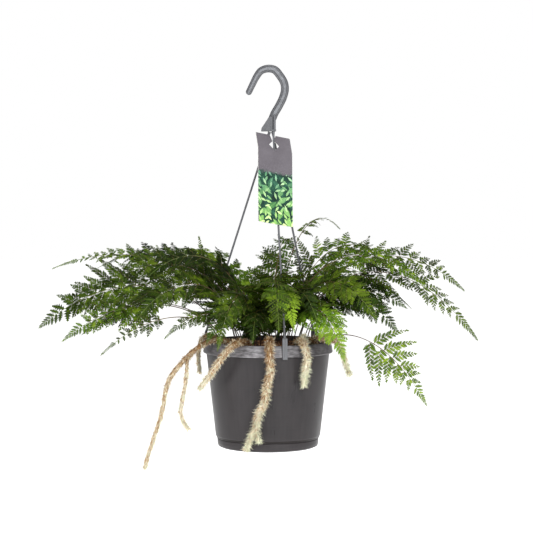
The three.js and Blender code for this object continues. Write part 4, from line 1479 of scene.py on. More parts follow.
        # From the distance to the next side branch, half of this one's width and its first leaflet's length.
        pitch = FORM.point * self.run / self.pairs * (1.1 - 0.25 * t)
        half = min(0.3 * length + 1, FORM.fill * (1 - 0.3 * self.habit.open) * pitch + 1)
        first = half / math.sin(math.radians(FORM.leaf_angle))
        crowding = FORM.crowding * (1 + 0.4 * self.habit.open)
        count = max(3, int(1.15 * length / max(FORM.leaf_pitch, crowding * first)))
        steps = len(ways)
        for sign in (1, -1):
            tau = 1 - (1 - (np.arange(count) + (0.35 if sign > 0 else 0.75)) / (count + 0.5)) ** 1.25
            at = np.clip(tau * steps, 0, steps - 1e-6)
            low = at.astype(int)
            way, side, face = ways[low], sides[low], faces[low]
            angle = np.radians(FORM.leaf_angle - 8 * tau + draw.normal(0, 4, count))[:, None]
            ahead = way * np.cos(angle) + sign * side * np.sin(angle)
            tilt = np.radians(draw.normal(0, 7, count))
            face = spun(face, ahead, tilt)
            ahead = unit(ahead + face * draw.normal(-0.04, 0.09, count)[:, None])
            size = first * (1 - tau) ** 0.62
            size = np.maximum(size * (1 + draw.normal(0, 0.07, count)), 3.0)
            self.leaves.add(
                spot=between(line, at), ahead=ahead, face=face, length=size,
                width=1.2 + draw.normal(0, 0.08, count),
                arch=draw.uniform(0.0, 0.18, count), cup=draw.uniform(-0.1, 0.3, count),
                tone=tone + draw.normal(0, 0.16, count), age=np.full(count, t),
            )
        # The end leaflet starts a step before the end of the side branch's rib.
        self.leaves.add(
            spot=line[-2:-1], ahead=ways[-1:], face=faces[-1:], length=[0.07 * length + 3],
            width=[0.8], arch=[0.1], cup=[0.05], tone=[tone + 0.06], age=[t],
        )

    def _point(self) -> None:
        """The frond's narrow end: single leaflets that shorten towards its tip, and the last one."""
        places = []
        t = FORM.point
        while t < FORM.end:
            places.append(t)
            t += max(FORM.tooth, FORM.teeth * self._length(t)) / self.run
        t = np.array(places)
        count = len(t)
        spot, way, side, face = self.frames(self._share(t))
        sign = np.where(np.arange(count) % 2, 1.0, -1.0)[:, None]
        # They close up towards the tip.
        angle = np.radians(FORM.angle - 6 - 10 * (t - FORM.point) / (1 - FORM.point))
        angle = (angle + np.radians(self.draw.normal(0, 3, count)))[:, None]
        ahead = sign * side * np.sin(angle) + way * np.cos(angle)
        length = np.maximum(self._length(t) * (1 + self.draw.normal(0, 0.06, count)), 2.6)
        apart = 2 * np.maximum(FORM.tooth, FORM.teeth * length)
        self.leaves.add(
            spot=spot, ahead=ahead - 0.04 * face, face=face, length=length,
            width=np.clip(1.75 * apart / length, 0.6, 1.1),
            arch=self.draw.uniform(0.0, 0.14, count), cup=self.draw.uniform(0, 0.2, count),
            # Painted light: leaflets towards the right-hand side are painted yellower and lighter.
            tone=FORM.end_tone + self.habit.tone + PAINTED_LIGHT_TOWARDS_RIGHT * spot[:, 0] / PAINTED_LIGHT_REACH
            + self.draw.normal(0, FORM.tones, count),
            age=t,
        )
        (spot,), (way,), _, (face,) = self.frames(FORM.end)
        self.leaves.add(
            spot=[spot], ahead=[way], face=[face], length=[6.0], width=[0.6], arch=[0.05], cup=[0.05],
            tone=[0.5], age=[1.0],
        )


# ---------------------------------------------------------------- the rhizomes


@dataclass(frozen=True)
class Runner:
    """One creeping stem: its centre line, and its thickness from its root to its tip."""

    thick: tuple[float, ...]
    line: tuple[tuple[float, float, float], ...]
    ripe: tuple[float, float] = (0.0, 1.0)  # its colour at its root and at its tip
    shag: tuple[float, float] = (0.5, 0.7)  # how far its hairs stand out, at its root and at its tip

    @staticmethod
    def along(ends: tuple[float, float], share: Vec) -> Vec:
        """Its colour or shag at shares of its length, from those at its ends."""
        return ends[0] + (ends[1] - ends[0]) * share


@dataclass(frozen=True)
class RhizomePlan:
    """The creeping stems that grew as one body."""

    name: str
    runners: tuple[Runner, ...]


RHIZOMES = (
    RhizomePlan("rhizome_left_long", (
        Runner((9, 9.5, 9, 8, 7, 6, 5, 2), (
            (-36, -40, -372.6), (-52, -42, -368.2), (-72, -46, -364.6), (-86, -54, -369), (-103, -58, -381),
            (-118, -60, -396), (-132, -62, -414), (-138, -62, -428), (-142, -62, -452), (-147, -61, -473),
            (-155, -60, -497), (-164, -59, -525), (-168, -58, -539),
        ), (0.1, 0.62), (0.3, 0.6)),
        Runner((5, 5.5, 5, 4.5, 2), (
            (-104, -58, -383), (-109, -66, -392), (-110, -70, -408), (-112, -72, -424), (-116, -73, -446),
            (-118, -73, -462), (-113, -73, -476), (-107, -72, -484),
        ), (0.35, 0.8), (0.4, 0.8)),
    )),
    RhizomePlan("rhizome_front_left", (
        Runner((9, 10.5, 10.5, 9, 7, 2.5), (
            (-22, -58, -373.2), (-31, -70, -366), (-40, -83, -365.2), (-51, -92, -372), (-61, -93, -384),
            (-71, -88, -398), (-80, -80, -412), (-89, -68, -424), (-93, -60, -430),
        ), (-0.05, 0.8), (0.5, 0.8)),
    )),
    RhizomePlan("rhizome_front", (
        Runner((9, 11, 11, 10.5, 10.5, 9, 7, 2.5), (
            (3, -58, -372.4), (3, -72, -364.8), (2, -86, -363.3), (2, -97, -371), (2, -97.6, -386),
            (3.5, -96, -402), (-2, -94, -424), (-4, -92.5, -442), (-13, -90, -463), (-17, -88, -482),
            (-24, -85, -496), (-30, -83, -511),
        ), (-0.05, 0.9), (0.6, 1.4)),
        Runner((6, 4.5, 2), ((-17, -88, -480), (-13.5, -91, -490), (-12, -92, -499)), (0.7, 1.0), (1.0, 1.1)),
    )),
    RhizomePlan("rhizome_front_right", (
        Runner((8, 10, 10, 9.5, 8, 3), (
            (38, -46, -373.4), (41, -62, -366.4), (45, -76, -364.5), (49, -86, -371), (53, -86, -384),
            (51, -84, -400), (49, -82, -416), (49, -81, -424),
        ), (0.0, 1.15), (0.5, 1.2)),
    )),
    RhizomePlan("rhizome_right_arch", (
        Runner((7, 9, 9, 8, 7, 5, 2), (
            (52, -30, -373.5), (62, -37, -366), (73, -45, -360.5), (86, -50, -362.5), (97, -54, -371),
            (103, -56, -386), (107, -57, -400), (111, -57, -412),
        ), (0.1, 1.1), (0.9, 1.3)),
    )),
    RhizomePlan("rhizome_bud", (
        Runner((6, 5.5, 4, 2), ((57, -58, -377), (53, -59, -370.4), (50, -60, -362), (48.5, -60, -356)),
               (0.5, 1.0)),
    )),
    RhizomePlan("rhizome_back_left", (
        Runner((7, 8, 7.5, 6, 4, 2), (
            (-60, 14, -375.1), (-72, 16, -366.5), (-84, 17, -364.7), (-92, 17, -369), (-96, 16, -380),
            (-97, 14, -398), (-95, 12, -416),
        ), (0.1, 0.7)),
    )),
)


@dataclass(frozen=True)
class Coat:
    """One kind of hair on a creeping stem."""

    per_mm2: float  # how many there are
    length: tuple[float, float]  # the least and the most
    width: float
    flat: float  # thickness over width
    rise: float  # how far it stands out rather than lying along the stem
    pale: float  # how much paler it is than the others


COATS = (
    Coat(0.5, (3.0, 5.0), 1.0, 0.3, 0.45, -1.0),  # papery scales
    Coat(0.6, (3.4, 5.6), 0.5, 0.9, 0.8, -0.3),  # fine hairs between them
    Coat(0.46, (5.0, 8.6), 0.7, 0.6, 0.95, 0.5),  # shaggy locks
)
CORE = 0.68  # a creeping stem's own thickness over that of the solid, which holds its coat too


@dataclass
class Rhizome:
    """A creeping stem with its coat of scales and hairs."""

    plan: RhizomePlan
    seed: int
    sides: int = 16
    step: float = 1.8  # between its rings
    slim: float = 1.8  # its least radius
    tuft: float = 4.0  # how far apart along the stem the hairs' lean changes
    lanes: int = 7  # tufts round the stem
    leans: int = 4096  # how many leans are drawn

    def build(self, skin: bpy.types.Material, hair: bpy.types.Material) -> bpy.types.Object:
        """Builds the creeping stem and places it.

        Args:
            skin: the finish of the stem itself.
            hair: the finish of its coat.

        Returns:
            The piece.
        """
        self.draw = np.random.default_rng(self.seed)
        self.shell = Shell("ripeness", "hair_tone")
        count = len(self.plan.runners)
        for i, runner in enumerate(self.plan.runners):
            self._grow(runner, i / count, (i + 1) / count)
        return put(self.shell, self.plan.name, [skin, hair], mapped=True)

    def _grow(self, runner: Runner, low: float, high: float) -> None:
        """One runner, with a part of the bake map from low to high.

        Args:
            runner: its measures.
            low: where its part of the map starts.
            high: where that part ends.
        """
        way = Way.through(runner.line)
        rings = max(8, int(way.length / self.step))
        share = np.linspace(0, 1, rings)
        thick = CORE * np.interp(share, np.linspace(0, 1, len(runner.thick)), runner.thick) / 2
        thick = np.maximum(thick, self.slim)
        points = way.at(share)
        # Knobs every few millimetres, and a rounded growing tip.
        knobs = 1 + 0.05 * np.sin(share * way.length / 5.5) + 0.03 * self.draw.standard_normal(rings)
        end = np.sqrt(np.clip((1 - share) * way.length / np.maximum(thick[-1] * 1.5, 1), 0.05, 1))
        coarse = 1 + 0.07 * self.draw.standard_normal((rings, self.sides))
        radii = (thick * knobs * end)[:, None] * coarse
        start = np.array([0.3, 0.2, 1.0])
        spots, faces, uv, along = tube(points, radii, self.sides, start)
        core = Patch(0.0, low, 0.5, high - MARGIN)
        ripe = runner.along(runner.ripe, along)
        self.shell.add(spots, faces, core.spread(uv), 0, ripeness=ripe, hair_tone=0.2)
        part = (high - low) / len(COATS)
        for i, coat in enumerate(COATS):
            room = Patch(0.51, low + i * part, 1.0, low + (i + 1) * part - MARGIN)
            self._coat(runner, way.length, points, thick * end, start, coat, room)

    def _coat(self, runner: Runner, length: float, points: Vec, thick: Vec, start: Vec, coat: Coat,
              room: Patch) -> None:
        """One coat of a runner: thin closed spikes that lean to its tip and downwards.

        Args:
            runner: the creeping stem.
            length: how long it is.
            points: the middles of its rings, in rows.
            thick: their radii.
            start: the direction of its first side.
            coat: the kind of hair.
            room: its part of the bake map.
        """
        draw = self.draw
        ways, normals, seconds = ring_frames(points, start)
        area = 2 * math.pi * float(np.mean(thick)) * length
        count = int(area * coat.per_mm2)
        at = draw.uniform(0, len(points) - 1.001, count)
        ring = at.astype(int)
        turn = draw.uniform(0, 2 * math.pi, count)
        out = normals[ring] * np.cos(turn)[:, None] + seconds[ring] * np.sin(turn)[:, None]
        # A hair is rooted a little way into the skin.
        root = between(points, at) + out * (0.92 * thick[ring])[:, None]
        # Hairs of one tuft share a lean.
        leans = draw.normal(0, 1, (self.leans, 3))
        lane = (turn * self.lanes / (2 * math.pi)).astype(int)
        tuft = (ring * self.step / self.tuft).astype(int) * self.lanes + lane
        lean = leans[tuft % self.leans]
        share = at / (len(points) - 1)
        shag = runner.along(runner.shag, share)
        # It leans out by its rise, and besides to the tip, downwards, with its tuft and by itself.
        heading = unit(
            (coat.rise * shag)[:, None] * out + 0.75 * ways[ring] + np.array([0, 0, -0.3]) + 0.4 * lean
            + 0.22 * draw.normal(0, 1, (count, 3))
        )
        size = draw.uniform(*coat.length, count) * (0.55 + 0.45 * shag)
        across = unit(np.cross(heading, out + 1e-3))
        other = np.cross(heading, across)
        wide = coat.width * draw.uniform(0.7, 1.2, count)[:, None]
        # It is widest at 0.35 of its length, and its point curls over.
        belly = root + 0.35 * heading * size[:, None]
        corners = np.stack([
            root, belly + 0.5 * wide * across, belly - 0.5 * wide * across,
            belly + 0.5 * coat.flat * wide * other,
            root + heading * size[:, None] + 0.12 * size[:, None] * -other,
        ], 1)
        pattern = np.array([[0, 1, 3], [0, 3, 2], [0, 2, 1], [4, 3, 1], [4, 2, 3], [4, 1, 2]])
        faces = (pattern[None] + 5 * np.arange(count)[:, None, None]).reshape(-1, 3)
        # Each of its six faces takes a sliver of its cell in the bake map.
        cell, grid = cells(count)
        fan = np.linspace(0.05, 0.8, 6)[:, None]
        shape = np.stack([fan + [[0.0, 0.12, 0.06]], np.broadcast_to([[0.1, 0.1, 0.9]], (6, 3))], -1)
        places = cell[:, None, None] + shape[None] / grid
        self.shell.add(
            corners.reshape(-1, 3), faces, room.spread(places).reshape(-1, 3, 2), 1,
            smooth=False, ripeness=np.repeat(runner.along(runner.ripe, share), 5),
            hair_tone=np.repeat(coat.pale + draw.normal(0.5, 0.9, count) + 0.6 * lean[:, 0], 5),
        )


# ---------------------------------------------------------------- the pot


@dataclass
class Pot:
    """The moulded pot: turned-down collar, tapered wall, stepped foot and drain holes."""

    sides: int = 144
    drain_radius: float = 4.0
    drain_circle: float = 42.0
    drain_count: int = 6

    def outline(self) -> Vec:
        """The wall's section, from the middle of the underside round to the middle of the inside.

        Returns:
            The radius and height of each point, in rows.
        """
        return rounded([
            (0, 3, 0), (57.5, 3, 1), (59, 0, 0.8), (65.2, 0, 1.2), (69.2, 1.8, 1.6), (70.2, 6, 2),
            (70.4, 11.4, 0.7), (69.9, 12.1, 0.4), (70.0, 12.9, 0.4), (71.6, 13.3, 0.5), (71.9, 15.2, 0.6),
            (72.5, 15.9, 0.4), (72.8, 17.0, 0.6), (85.3, 129.5, 0), (85.4, 134.2, 0.5), (87.9, 134.6, 0.5),
            (88.3, 131.4, 0.4), (89.4, 131.0, 0.5), (90.0, 132.4, 0.6), (88.0, 144.6, 1.4), (86.7, 147, 0.8),
            (85.7, 147, 0.5), (84.8, 143.5, 1), (70.8, 16.5, 3), (67.2, 6.4, 2), (0, 6, 0),
        ])

    def build(self, plastic: bpy.types.Material) -> bpy.types.Object:
        """Builds the pot and places it.

        Args:
            plastic: its finish.

        Returns:
            The piece.
        """
        shell = Shell("rubbed", "recess")
        points, faces, uv = lathe(self.outline(), self.sides)
        radius = np.hypot(points[:, 0], points[:, 1])
        # The collar is painted pale: partly wear with scratches, partly a painted highlight that is strongest
        # at the front.
        facing = np.clip(np.cos(np.arctan2(points[:, 0], -points[:, 1]) + math.radians(5)), 0, 1)
        collar = ((points[:, 2] > 131.2) & (radius > 86)) * (0.35 + 0.65 * facing ** 5)
        # Painted shade: the grooves above the foot and under the collar are painted dark.
        groove = ((points[:, 2] > 11.6) & (points[:, 2] < 15.6) & (radius > 69)) | (
            (points[:, 2] > 133.5) & (points[:, 2] < 135) & (radius > 85) & (radius < 88.1)
        )
        points[:, 2] += BASE_Z
        shell.add(points, faces, uv, rubbed=collar * 0.9, recess=groove * 0.8)
        piece = put(shell, "pot", [plastic], mapped=True)
        self._drill(piece)
        return piece

    def _drill(self, piece: bpy.types.Object) -> None:
        """Cuts the drain holes through the floor.

        Args:
            piece: the pot.
        """
        shell = Shell()
        for i in range(self.drain_count):
            centre = polar((i + 0.5) * 360 / self.drain_count, self.drain_circle, BASE_Z)
            # From below the underside to above the floor.
            line = centre + np.array([[0, 0, -2.0], [0, 0, 12.0]])
            spots, faces, _, _ = tube(line, np.full(2, self.drain_radius), 24, np.array([1.0, 0, 0]))
            shell.add(spots, faces)
        cutter = enter("drill", shell.mesh("drill"))
        cut = piece.modifiers.new("cut", "BOOLEAN")
        cut.operation = "DIFFERENCE"
        cut.solver = "EXACT"
        cut.object = cutter
        bpy.context.view_layer.update()
        made = bpy.data.meshes.new_from_object(piece.evaluated_get(bpy.context.evaluated_depsgraph_get()))
        piece.modifiers.clear()
        piece.data = made
        bpy.data.objects.remove(cutter)
        smooth_by_angle(made, 35)


# ---------------------------------------------------------------- the hanger


HOOK_LINE = (
    (-26.2, -26), (-21.2, -15.6), (-15.6, -4.8), (-9.4, 3), (0, 6), (9.3, 4.2), (16.2, -3.4),
    (22, -13), (23.4, -22.4), (21, -33), (14.8, -45.9), (9.2, -55.5), (6, -63),
)


@dataclass
class Hook:
    """The hook's bar with a raised ridge down its middle, and the finned hub below it."""

    half_width: float = 5.5
    half_depth: float = 4.5
    ridge: float = 2.1  # half of the ridge's width
    ease: float = 0.5  # of the hub's edges
    taper: float = 0.22  # how much thinner its free end is
    steps: int = 120  # along its line
    dome: float = 4.4  # how far its rounded free end stands beyond the line's first spot

    def section(self) -> Vec:
        """One quarter after the other of the bar's section: across and through, in rows.

        Returns:
            The section's points.
        """
        w, d = self.half_width, self.half_depth
        quarter = [
            (0, d), (self.ridge * 0.8, d), (self.ridge, d - 0.25), (self.ridge + 0.35, d - 0.75),
            (w - 1.5, d - 1.15), (w - 0.6, d - 1.9), (w - 0.1, d - 2.9), (w, 0),
        ]
        top = [(-x, y) for x, y in quarter[::-1][:-1]] + quarter
        low = [(x, -y) for x, y in top[::-1]][1:-1]
        return np.array(top + low, float)

    def build(self, plastic: bpy.types.Material) -> bpy.types.Object:
        """Builds the hook and places it.

        Args:
            plastic: its finish.

        Returns:
            The piece.
        """
        shell = Shell("rubbed", "recess")
        self._bar(shell)
        self._hub(shell)
        return put(shell, "hanger_hook", [plastic], crease=28)

    def _bar(self, shell: Shell) -> None:
        """The bar, swept along the hook's line and rounded off at its free end.

        Args:
            shell: the mesh that it goes into.
        """
        way = Way.through([(x, 0, z) for x, z in HOOK_LINE])
        section = self.section()
        share = np.linspace(0, 1, self.steps)
        points = way.at(share)
        ways = way.heading(share)
        right = unit(np.cross(ways, np.array([0.0, 1.0, 0.0])))
        depth = np.array([0.0, -1.0, 0.0])
        dome = np.linspace(math.pi / 2, 0.1, 6)
        cap = [points[0] - ways[0] * self.dome * math.sin(a) for a in dome]
        slim = 1 - self.taper * (1 - smoothstep(share, 0.0, 0.45))
        scale = np.concatenate([np.cos(dome) * slim[0], slim])
        scale[0] = 0.02
        centre = np.concatenate([cap, points])
        right = np.concatenate([np.repeat(right[:1], len(dome), 0), right])
        rings = (
            centre[:, None] + (section[:, 0] * scale[:, None])[..., None] * right[:, None]
            + (section[:, 1] * scale[:, None])[..., None] * depth
        )
        n, k = len(centre), len(section)
        _, _, a, b = band(n, k)
        # Painted highlight and shade: the ridge is painted pale, and the steps beside it and the bar's flanks
        # are painted dark.
        across = np.abs(section[:, 0])
        ridge = np.tile(across < self.ridge + 0.1, n) * 0.55
        flank = np.tile((across > self.half_width - 0.7) | (np.abs(across - self.ridge) < 0.4), n) * 0.6
        faces = np.stack([b, b + k, a + k, a], 1)
        shell.add(rings.reshape(-1, 3), faces, rubbed=ridge, recess=flank)
        # The end caps are painted half dark, a painted shade.
        ends = np.concatenate([rings[0], rings[-1]])
        shell.add(ends, np.stack([np.arange(k), (2 * k - 1) - np.arange(k)]), recess=0.5)

    def _hub(self, shell: Shell) -> None:
        """The hub: a fin that widens downwards, a groove beside it and a narrow rib.

        Args:
            shell: the mesh that it goes into.
        """
        fin = [(1.6, -60.0), (-1.2, -64.5), (-8.9, -76.0), (-8.9, HUB_Z), (6.4, HUB_Z), (6.6, -60.0)]
        rib = [(7.6, -58.5), (7.6, HUB_Z), (10.8, HUB_Z), (10.8, -60.5), (9.4, -57.0)]
        web = [(5.6, -60.0), (5.6, HUB_Z + 0.4), (8.4, HUB_Z + 0.4), (8.4, -60.0)]
        foot = [(-9.3, -77.6), (-9.3, HUB_Z), (11.2, HUB_Z), (11.2, -77.6)]
        for outline, depth in ((fin, 16.0), (rib, 16.0), (web, 10.0), (foot, 17.0)):
            add_prism(shell, outline, depth, self.ease)


class Side(str, Enum):
    """The hanger's rods, by where each comes down."""

    FRONT = "front"
    RIGHT = "right"
    LEFT = "left"


ARM_TOPS = {Side.FRONT: (7.2, -4.0), Side.RIGHT: (6.5, 4.0), Side.LEFT: (2.2, 1.5)}
ARM_BEARINGS = {Side.FRONT: 14.5, Side.RIGHT: 134.5, Side.LEFT: -105.5}


@dataclass
class Arm:
    """One rod of the hanger, with the flat clip that hooks under the collar."""

    side: Side
    radius: float = 1.35
    foot_radius: float = 90.2
    foot_z: float = -361.0
    strap_top: float = 88.8  # the radius of the strap's inner face at its top
    strap_low: float = 90.4  # and where it passes the collar
    width: float = 7.0
    thick: float = 1.9
    lip: float = 4.6  # how far the clip reaches in under the collar
    hold: float = 16.0  # how far below the rim it does so

    @property
    def top(self) -> Vec:
        """Where the rod leaves the hub."""
        return np.array([*ARM_TOPS[self.side], HUB_Z - 0.75])

    @property
    def foot(self) -> Vec:
        """Where the rod meets its clip."""
        return polar(ARM_BEARINGS[self.side], self.foot_radius, self.foot_z)

    def build(self, plastic: bpy.types.Material) -> bpy.types.Object:
        """Builds the rod with its clip and places it.

        Args:
            plastic: its finish.

        Returns:
            The piece.
        """
        shell = Shell()
        share = np.linspace(0, 1, 40)[:, None]
        line = self.top * (1 - share) + self.foot * share
        # The rod swells into a knob at the hub and into a fillet at the clip.
        run = share[:, 0] * np.linalg.norm(self.foot - self.top)
        swell = 0.9 * np.exp(-(run / 2.2) ** 2) + 0.7 * np.exp(-((run[-1] - run) / 5) ** 2)
        spots, faces, _, _ = tube(line, self.radius + swell, 16, np.array([1.0, 0, 0.1]))
        shell.add(spots, faces)
        under = RIM_Z - self.hold - GAP
        out_top, out_low = self.strap_top, self.strap_low
        strap = [
            (out_top, self.foot_z - 1.5), (out_top, RIM_Z - 1), (out_low, under + 1), (out_low, under),
            (out_low + self.thick - self.lip - 1.5, under), (out_low + self.thick - self.lip, under - 1.8),
            (out_low + self.thick, under - 1.8), (out_top + self.thick + 0.4, self.foot_z + 1.5),
            (out_top + 0.6, self.foot_z + 1.5),
        ]
        rib = [
            (out_low + self.thick - 0.2, under + 1.5), (out_low + self.thick + 0.5, under + 2.5),
            (out_top + self.thick + 0.7, self.foot_z - 1.5), (out_top + self.thick + 0.2, self.foot_z - 0.5),
        ]
        bearing = ARM_BEARINGS[self.side]
        axes = np.array([polar(bearing, 1, 0), polar(bearing + 90, 1, 0), (0, 0, 1)])
        for outline, width in ((strap, self.width), (rib, 2.2)):
            add_prism(shell, outline, width, 0.35, axes)
        return put(shell, f"hanger_arm_{self.side.value}", [plastic], crease=35)


# ---------------------------------------------------------------- the label


@dataclass
class Label:
    """The folded card with its slit hole, threaded on the front rod."""

    width: float = 54.0
    height: float = 131.0
    thick: float = 0.8
    head: float = 25.5  # how much of its height is above the fold
    head_tilt: float = 15.0  # how far that leans back, in degrees
    lean: float = 19.0  # how far the whole card leans, in degrees
    yaw: float = 30.0  # how far it is turned about its height, in degrees
    top_z: float = -83.0
    shift: float = -0.4  # of its middle to the rod's right
    stand: float = 0.9  # how far it stands off the rod, beyond the gap
    hole_half: float = 8.0  # half of the diamond hole's width
    hole_drop: float = 16.5  # from the top edge down to the hole's middle
    hole_shift: float = 0.8  # of the hole from the card's middle
    slit: float = 3.4  # the slit's width at the hole
    slit_top: float = 9.0  # and at the top edge
    fold_radius: float = 9.0
    curl: float = 1.2  # how far the card's lower corners curl forward

    def build(self, card: bpy.types.Material) -> bpy.types.Object:
        """Builds the card and places it.

        Args:
            card: its finish.

        Returns:
            The piece.
        """
        sheet = self._sheet()
        flat = np.array([v.co[:] for v in sheet.verts])
        tris = np.array([[v.index for v in f.verts] for f in sheet.faces])
        rims = [(e.verts[0].index, e.verts[1].index) for e in sheet.edges if len(e.link_faces) == 1]
        # Each edge of the outline runs the way that its triangle does.
        loops = [loop for f in sheet.faces for loop in f.loops]
        directed = {(loop.vert.index, loop.link_loop_next.vert.index) for loop in loops}
        rims = np.array([(a, b) if (a, b) in directed else (b, a) for a, b in rims])
        sheet.free()
        front, back = self._fold(flat, -self.thick / 2), self._fold(flat, self.thick / 2)
        shell = Shell("print_u", "print_v", "bare")
        u = flat[:, 0] / self.width + 0.5
        v = (flat[:, 1] + self.height - self.head) / self.height
        rim = np.isin(np.arange(len(flat)), rims)
        for points, bare, room, order in (
            (front, 0.0, Patch(0.01, 0.01, 0.40, 0.98), 1), (back, 1.0, Patch(0.42, 0.01, 0.81, 0.98), -1),
        ):
            uv = room.spread(np.stack([u[tris], v[tris]], -1))[:, ::order]
            shell.add(points, tris[:, ::order], uv, rim=rim, print_u=u, print_v=v, bare=bare)
        n = len(flat)
        walls = np.stack([rims[:, 1], rims[:, 0], rims[:, 0] + n, rims[:, 1] + n], 1)
        k = np.arange(len(rims)) / len(rims)
        uv = np.zeros((len(rims), 4, 2))
        uv[..., 0] = [0.83, 0.83, 0.95, 0.95]
        uv[..., 1] = k[:, None] + np.array([1, 0, 0, 1]) / len(rims)
        both = np.concatenate([front, back])
        shell.add(both, walls, uv, smooth=False, print_u=np.tile(u, 2), print_v=np.tile(v, 2), bare=1.0)
        return put(shell, "label", [card], mapped=True)

    def _sheet(self) -> bmesh.types.BMesh:
        """The card laid flat, X across and Y up from its fold, cut into small triangles.

        Returns:
            The card, as a mesh at work.
        """
        w = self.width / 2
        low, top = self.head - self.height, self.head
        c = -self.shift - self.hole_shift
        # Heights on the head were taken upright, so they are a little longer along the card.
        stretch = 1 / math.cos(math.radians(self.head_tilt))
        middle = self.head - self.hole_drop
        r, s, t = self.hole_half, self.slit / 2, self.slit_top / 2
        ear = 0.8  # cut off the card's corners
        outline = [
            (-w + ear, low), (w - ear, low), (w, low + ear), (w, top - ear), (w - ear, top),
            (c + t + 0.6, top), (c + t, top - 0.6), (c + s, middle + (r - s) * stretch), (c + r, middle),
            (c, middle - r * stretch), (c - r, middle), (c - s, middle + (r - s) * stretch),
            (c - t, top - 0.6), (c - t - 0.6, top), (-w + ear, top), (-w, top - ear), (-w, low + ear),
        ]
        sheet = bmesh.new()
        sheet.faces.new([sheet.verts.new((x, y, 0)) for x, y in outline])
        # Cuts all the way up, closer ones at the fold, and cuts across.
        heights = [*np.arange(low + 4, top - 1, 4.3), *np.linspace(-4, 4, 9)]
        cuts = [((0, y, 0), (0, 1, 0)) for y in heights]
        cuts += [((x, 0, 0), (1, 0, 0)) for x in np.linspace(-w, w, 12)[1:-1]]
        for spot, normal in cuts:
            geometry = sheet.verts[:] + sheet.edges[:] + sheet.faces[:]
            bmesh.ops.bisect_plane(sheet, geom=geometry, plane_co=spot, plane_no=normal, dist=1e-4)
        bmesh.ops.triangulate(sheet, faces=sheet.faces[:])
        sheet.verts.index_update()
        return sheet

    def _fold(self, flat: Vec, depth: float) -> Vec:
        """Folds the card's flat points, moves them through its thickness and hangs them on the rod.

        Args:
            flat: the points, in rows.
            depth: how far through the card, backwards.

        Returns:
            The points in the frame, in rows.
        """
        tilt = math.radians(self.head_tilt)
        reach = self.fold_radius * tilt
        x, y = flat[:, 0], flat[:, 1]
        turn = np.clip((y + reach / 2) / reach, 0, 1) * tilt
        # Along an arc of the fold radius, then straight on.
        radius, arc = self.fold_radius, np.clip(y + reach / 2, 0, reach)
        rest = np.clip(y - reach / 2, 0, None)
        up = np.minimum(y, -reach / 2) + radius * np.sin(arc / radius) + rest * math.cos(tilt)
        back = radius * (1 - np.cos(arc / radius)) + rest * math.sin(tilt)
        lower = np.clip(-y / (self.height - self.head), 0, 1)
        curl = self.curl * lower ** 2 * (x / (self.width / 2)) ** 2
        back = back - curl + depth * np.cos(turn)
        up = up - depth * np.sin(turn)
        lean = math.radians(self.lean)
        rise = np.array([0, math.sin(lean), math.cos(lean)])
        right = spun(np.array([1.0, 0, 0]), rise, np.array(math.radians(self.yaw)))
        rear = np.cross(rise, right)
        rod = Arm(Side.FRONT)
        fold_z = self.top_z - self.head
        part = (rod.top[2] - fold_z) / (rod.top[2] - rod.foot[2])
        hang = rod.top + part * (rod.foot - rod.top) + self.shift * right
        hang = hang - (ROD_RADIUS + GAP + self.thick / 2 + self.stand) * rear
        return hang + x[:, None] * right + back[:, None] * rear + up[:, None] * rise


# ---------------------------------------------------------------- the potting mix


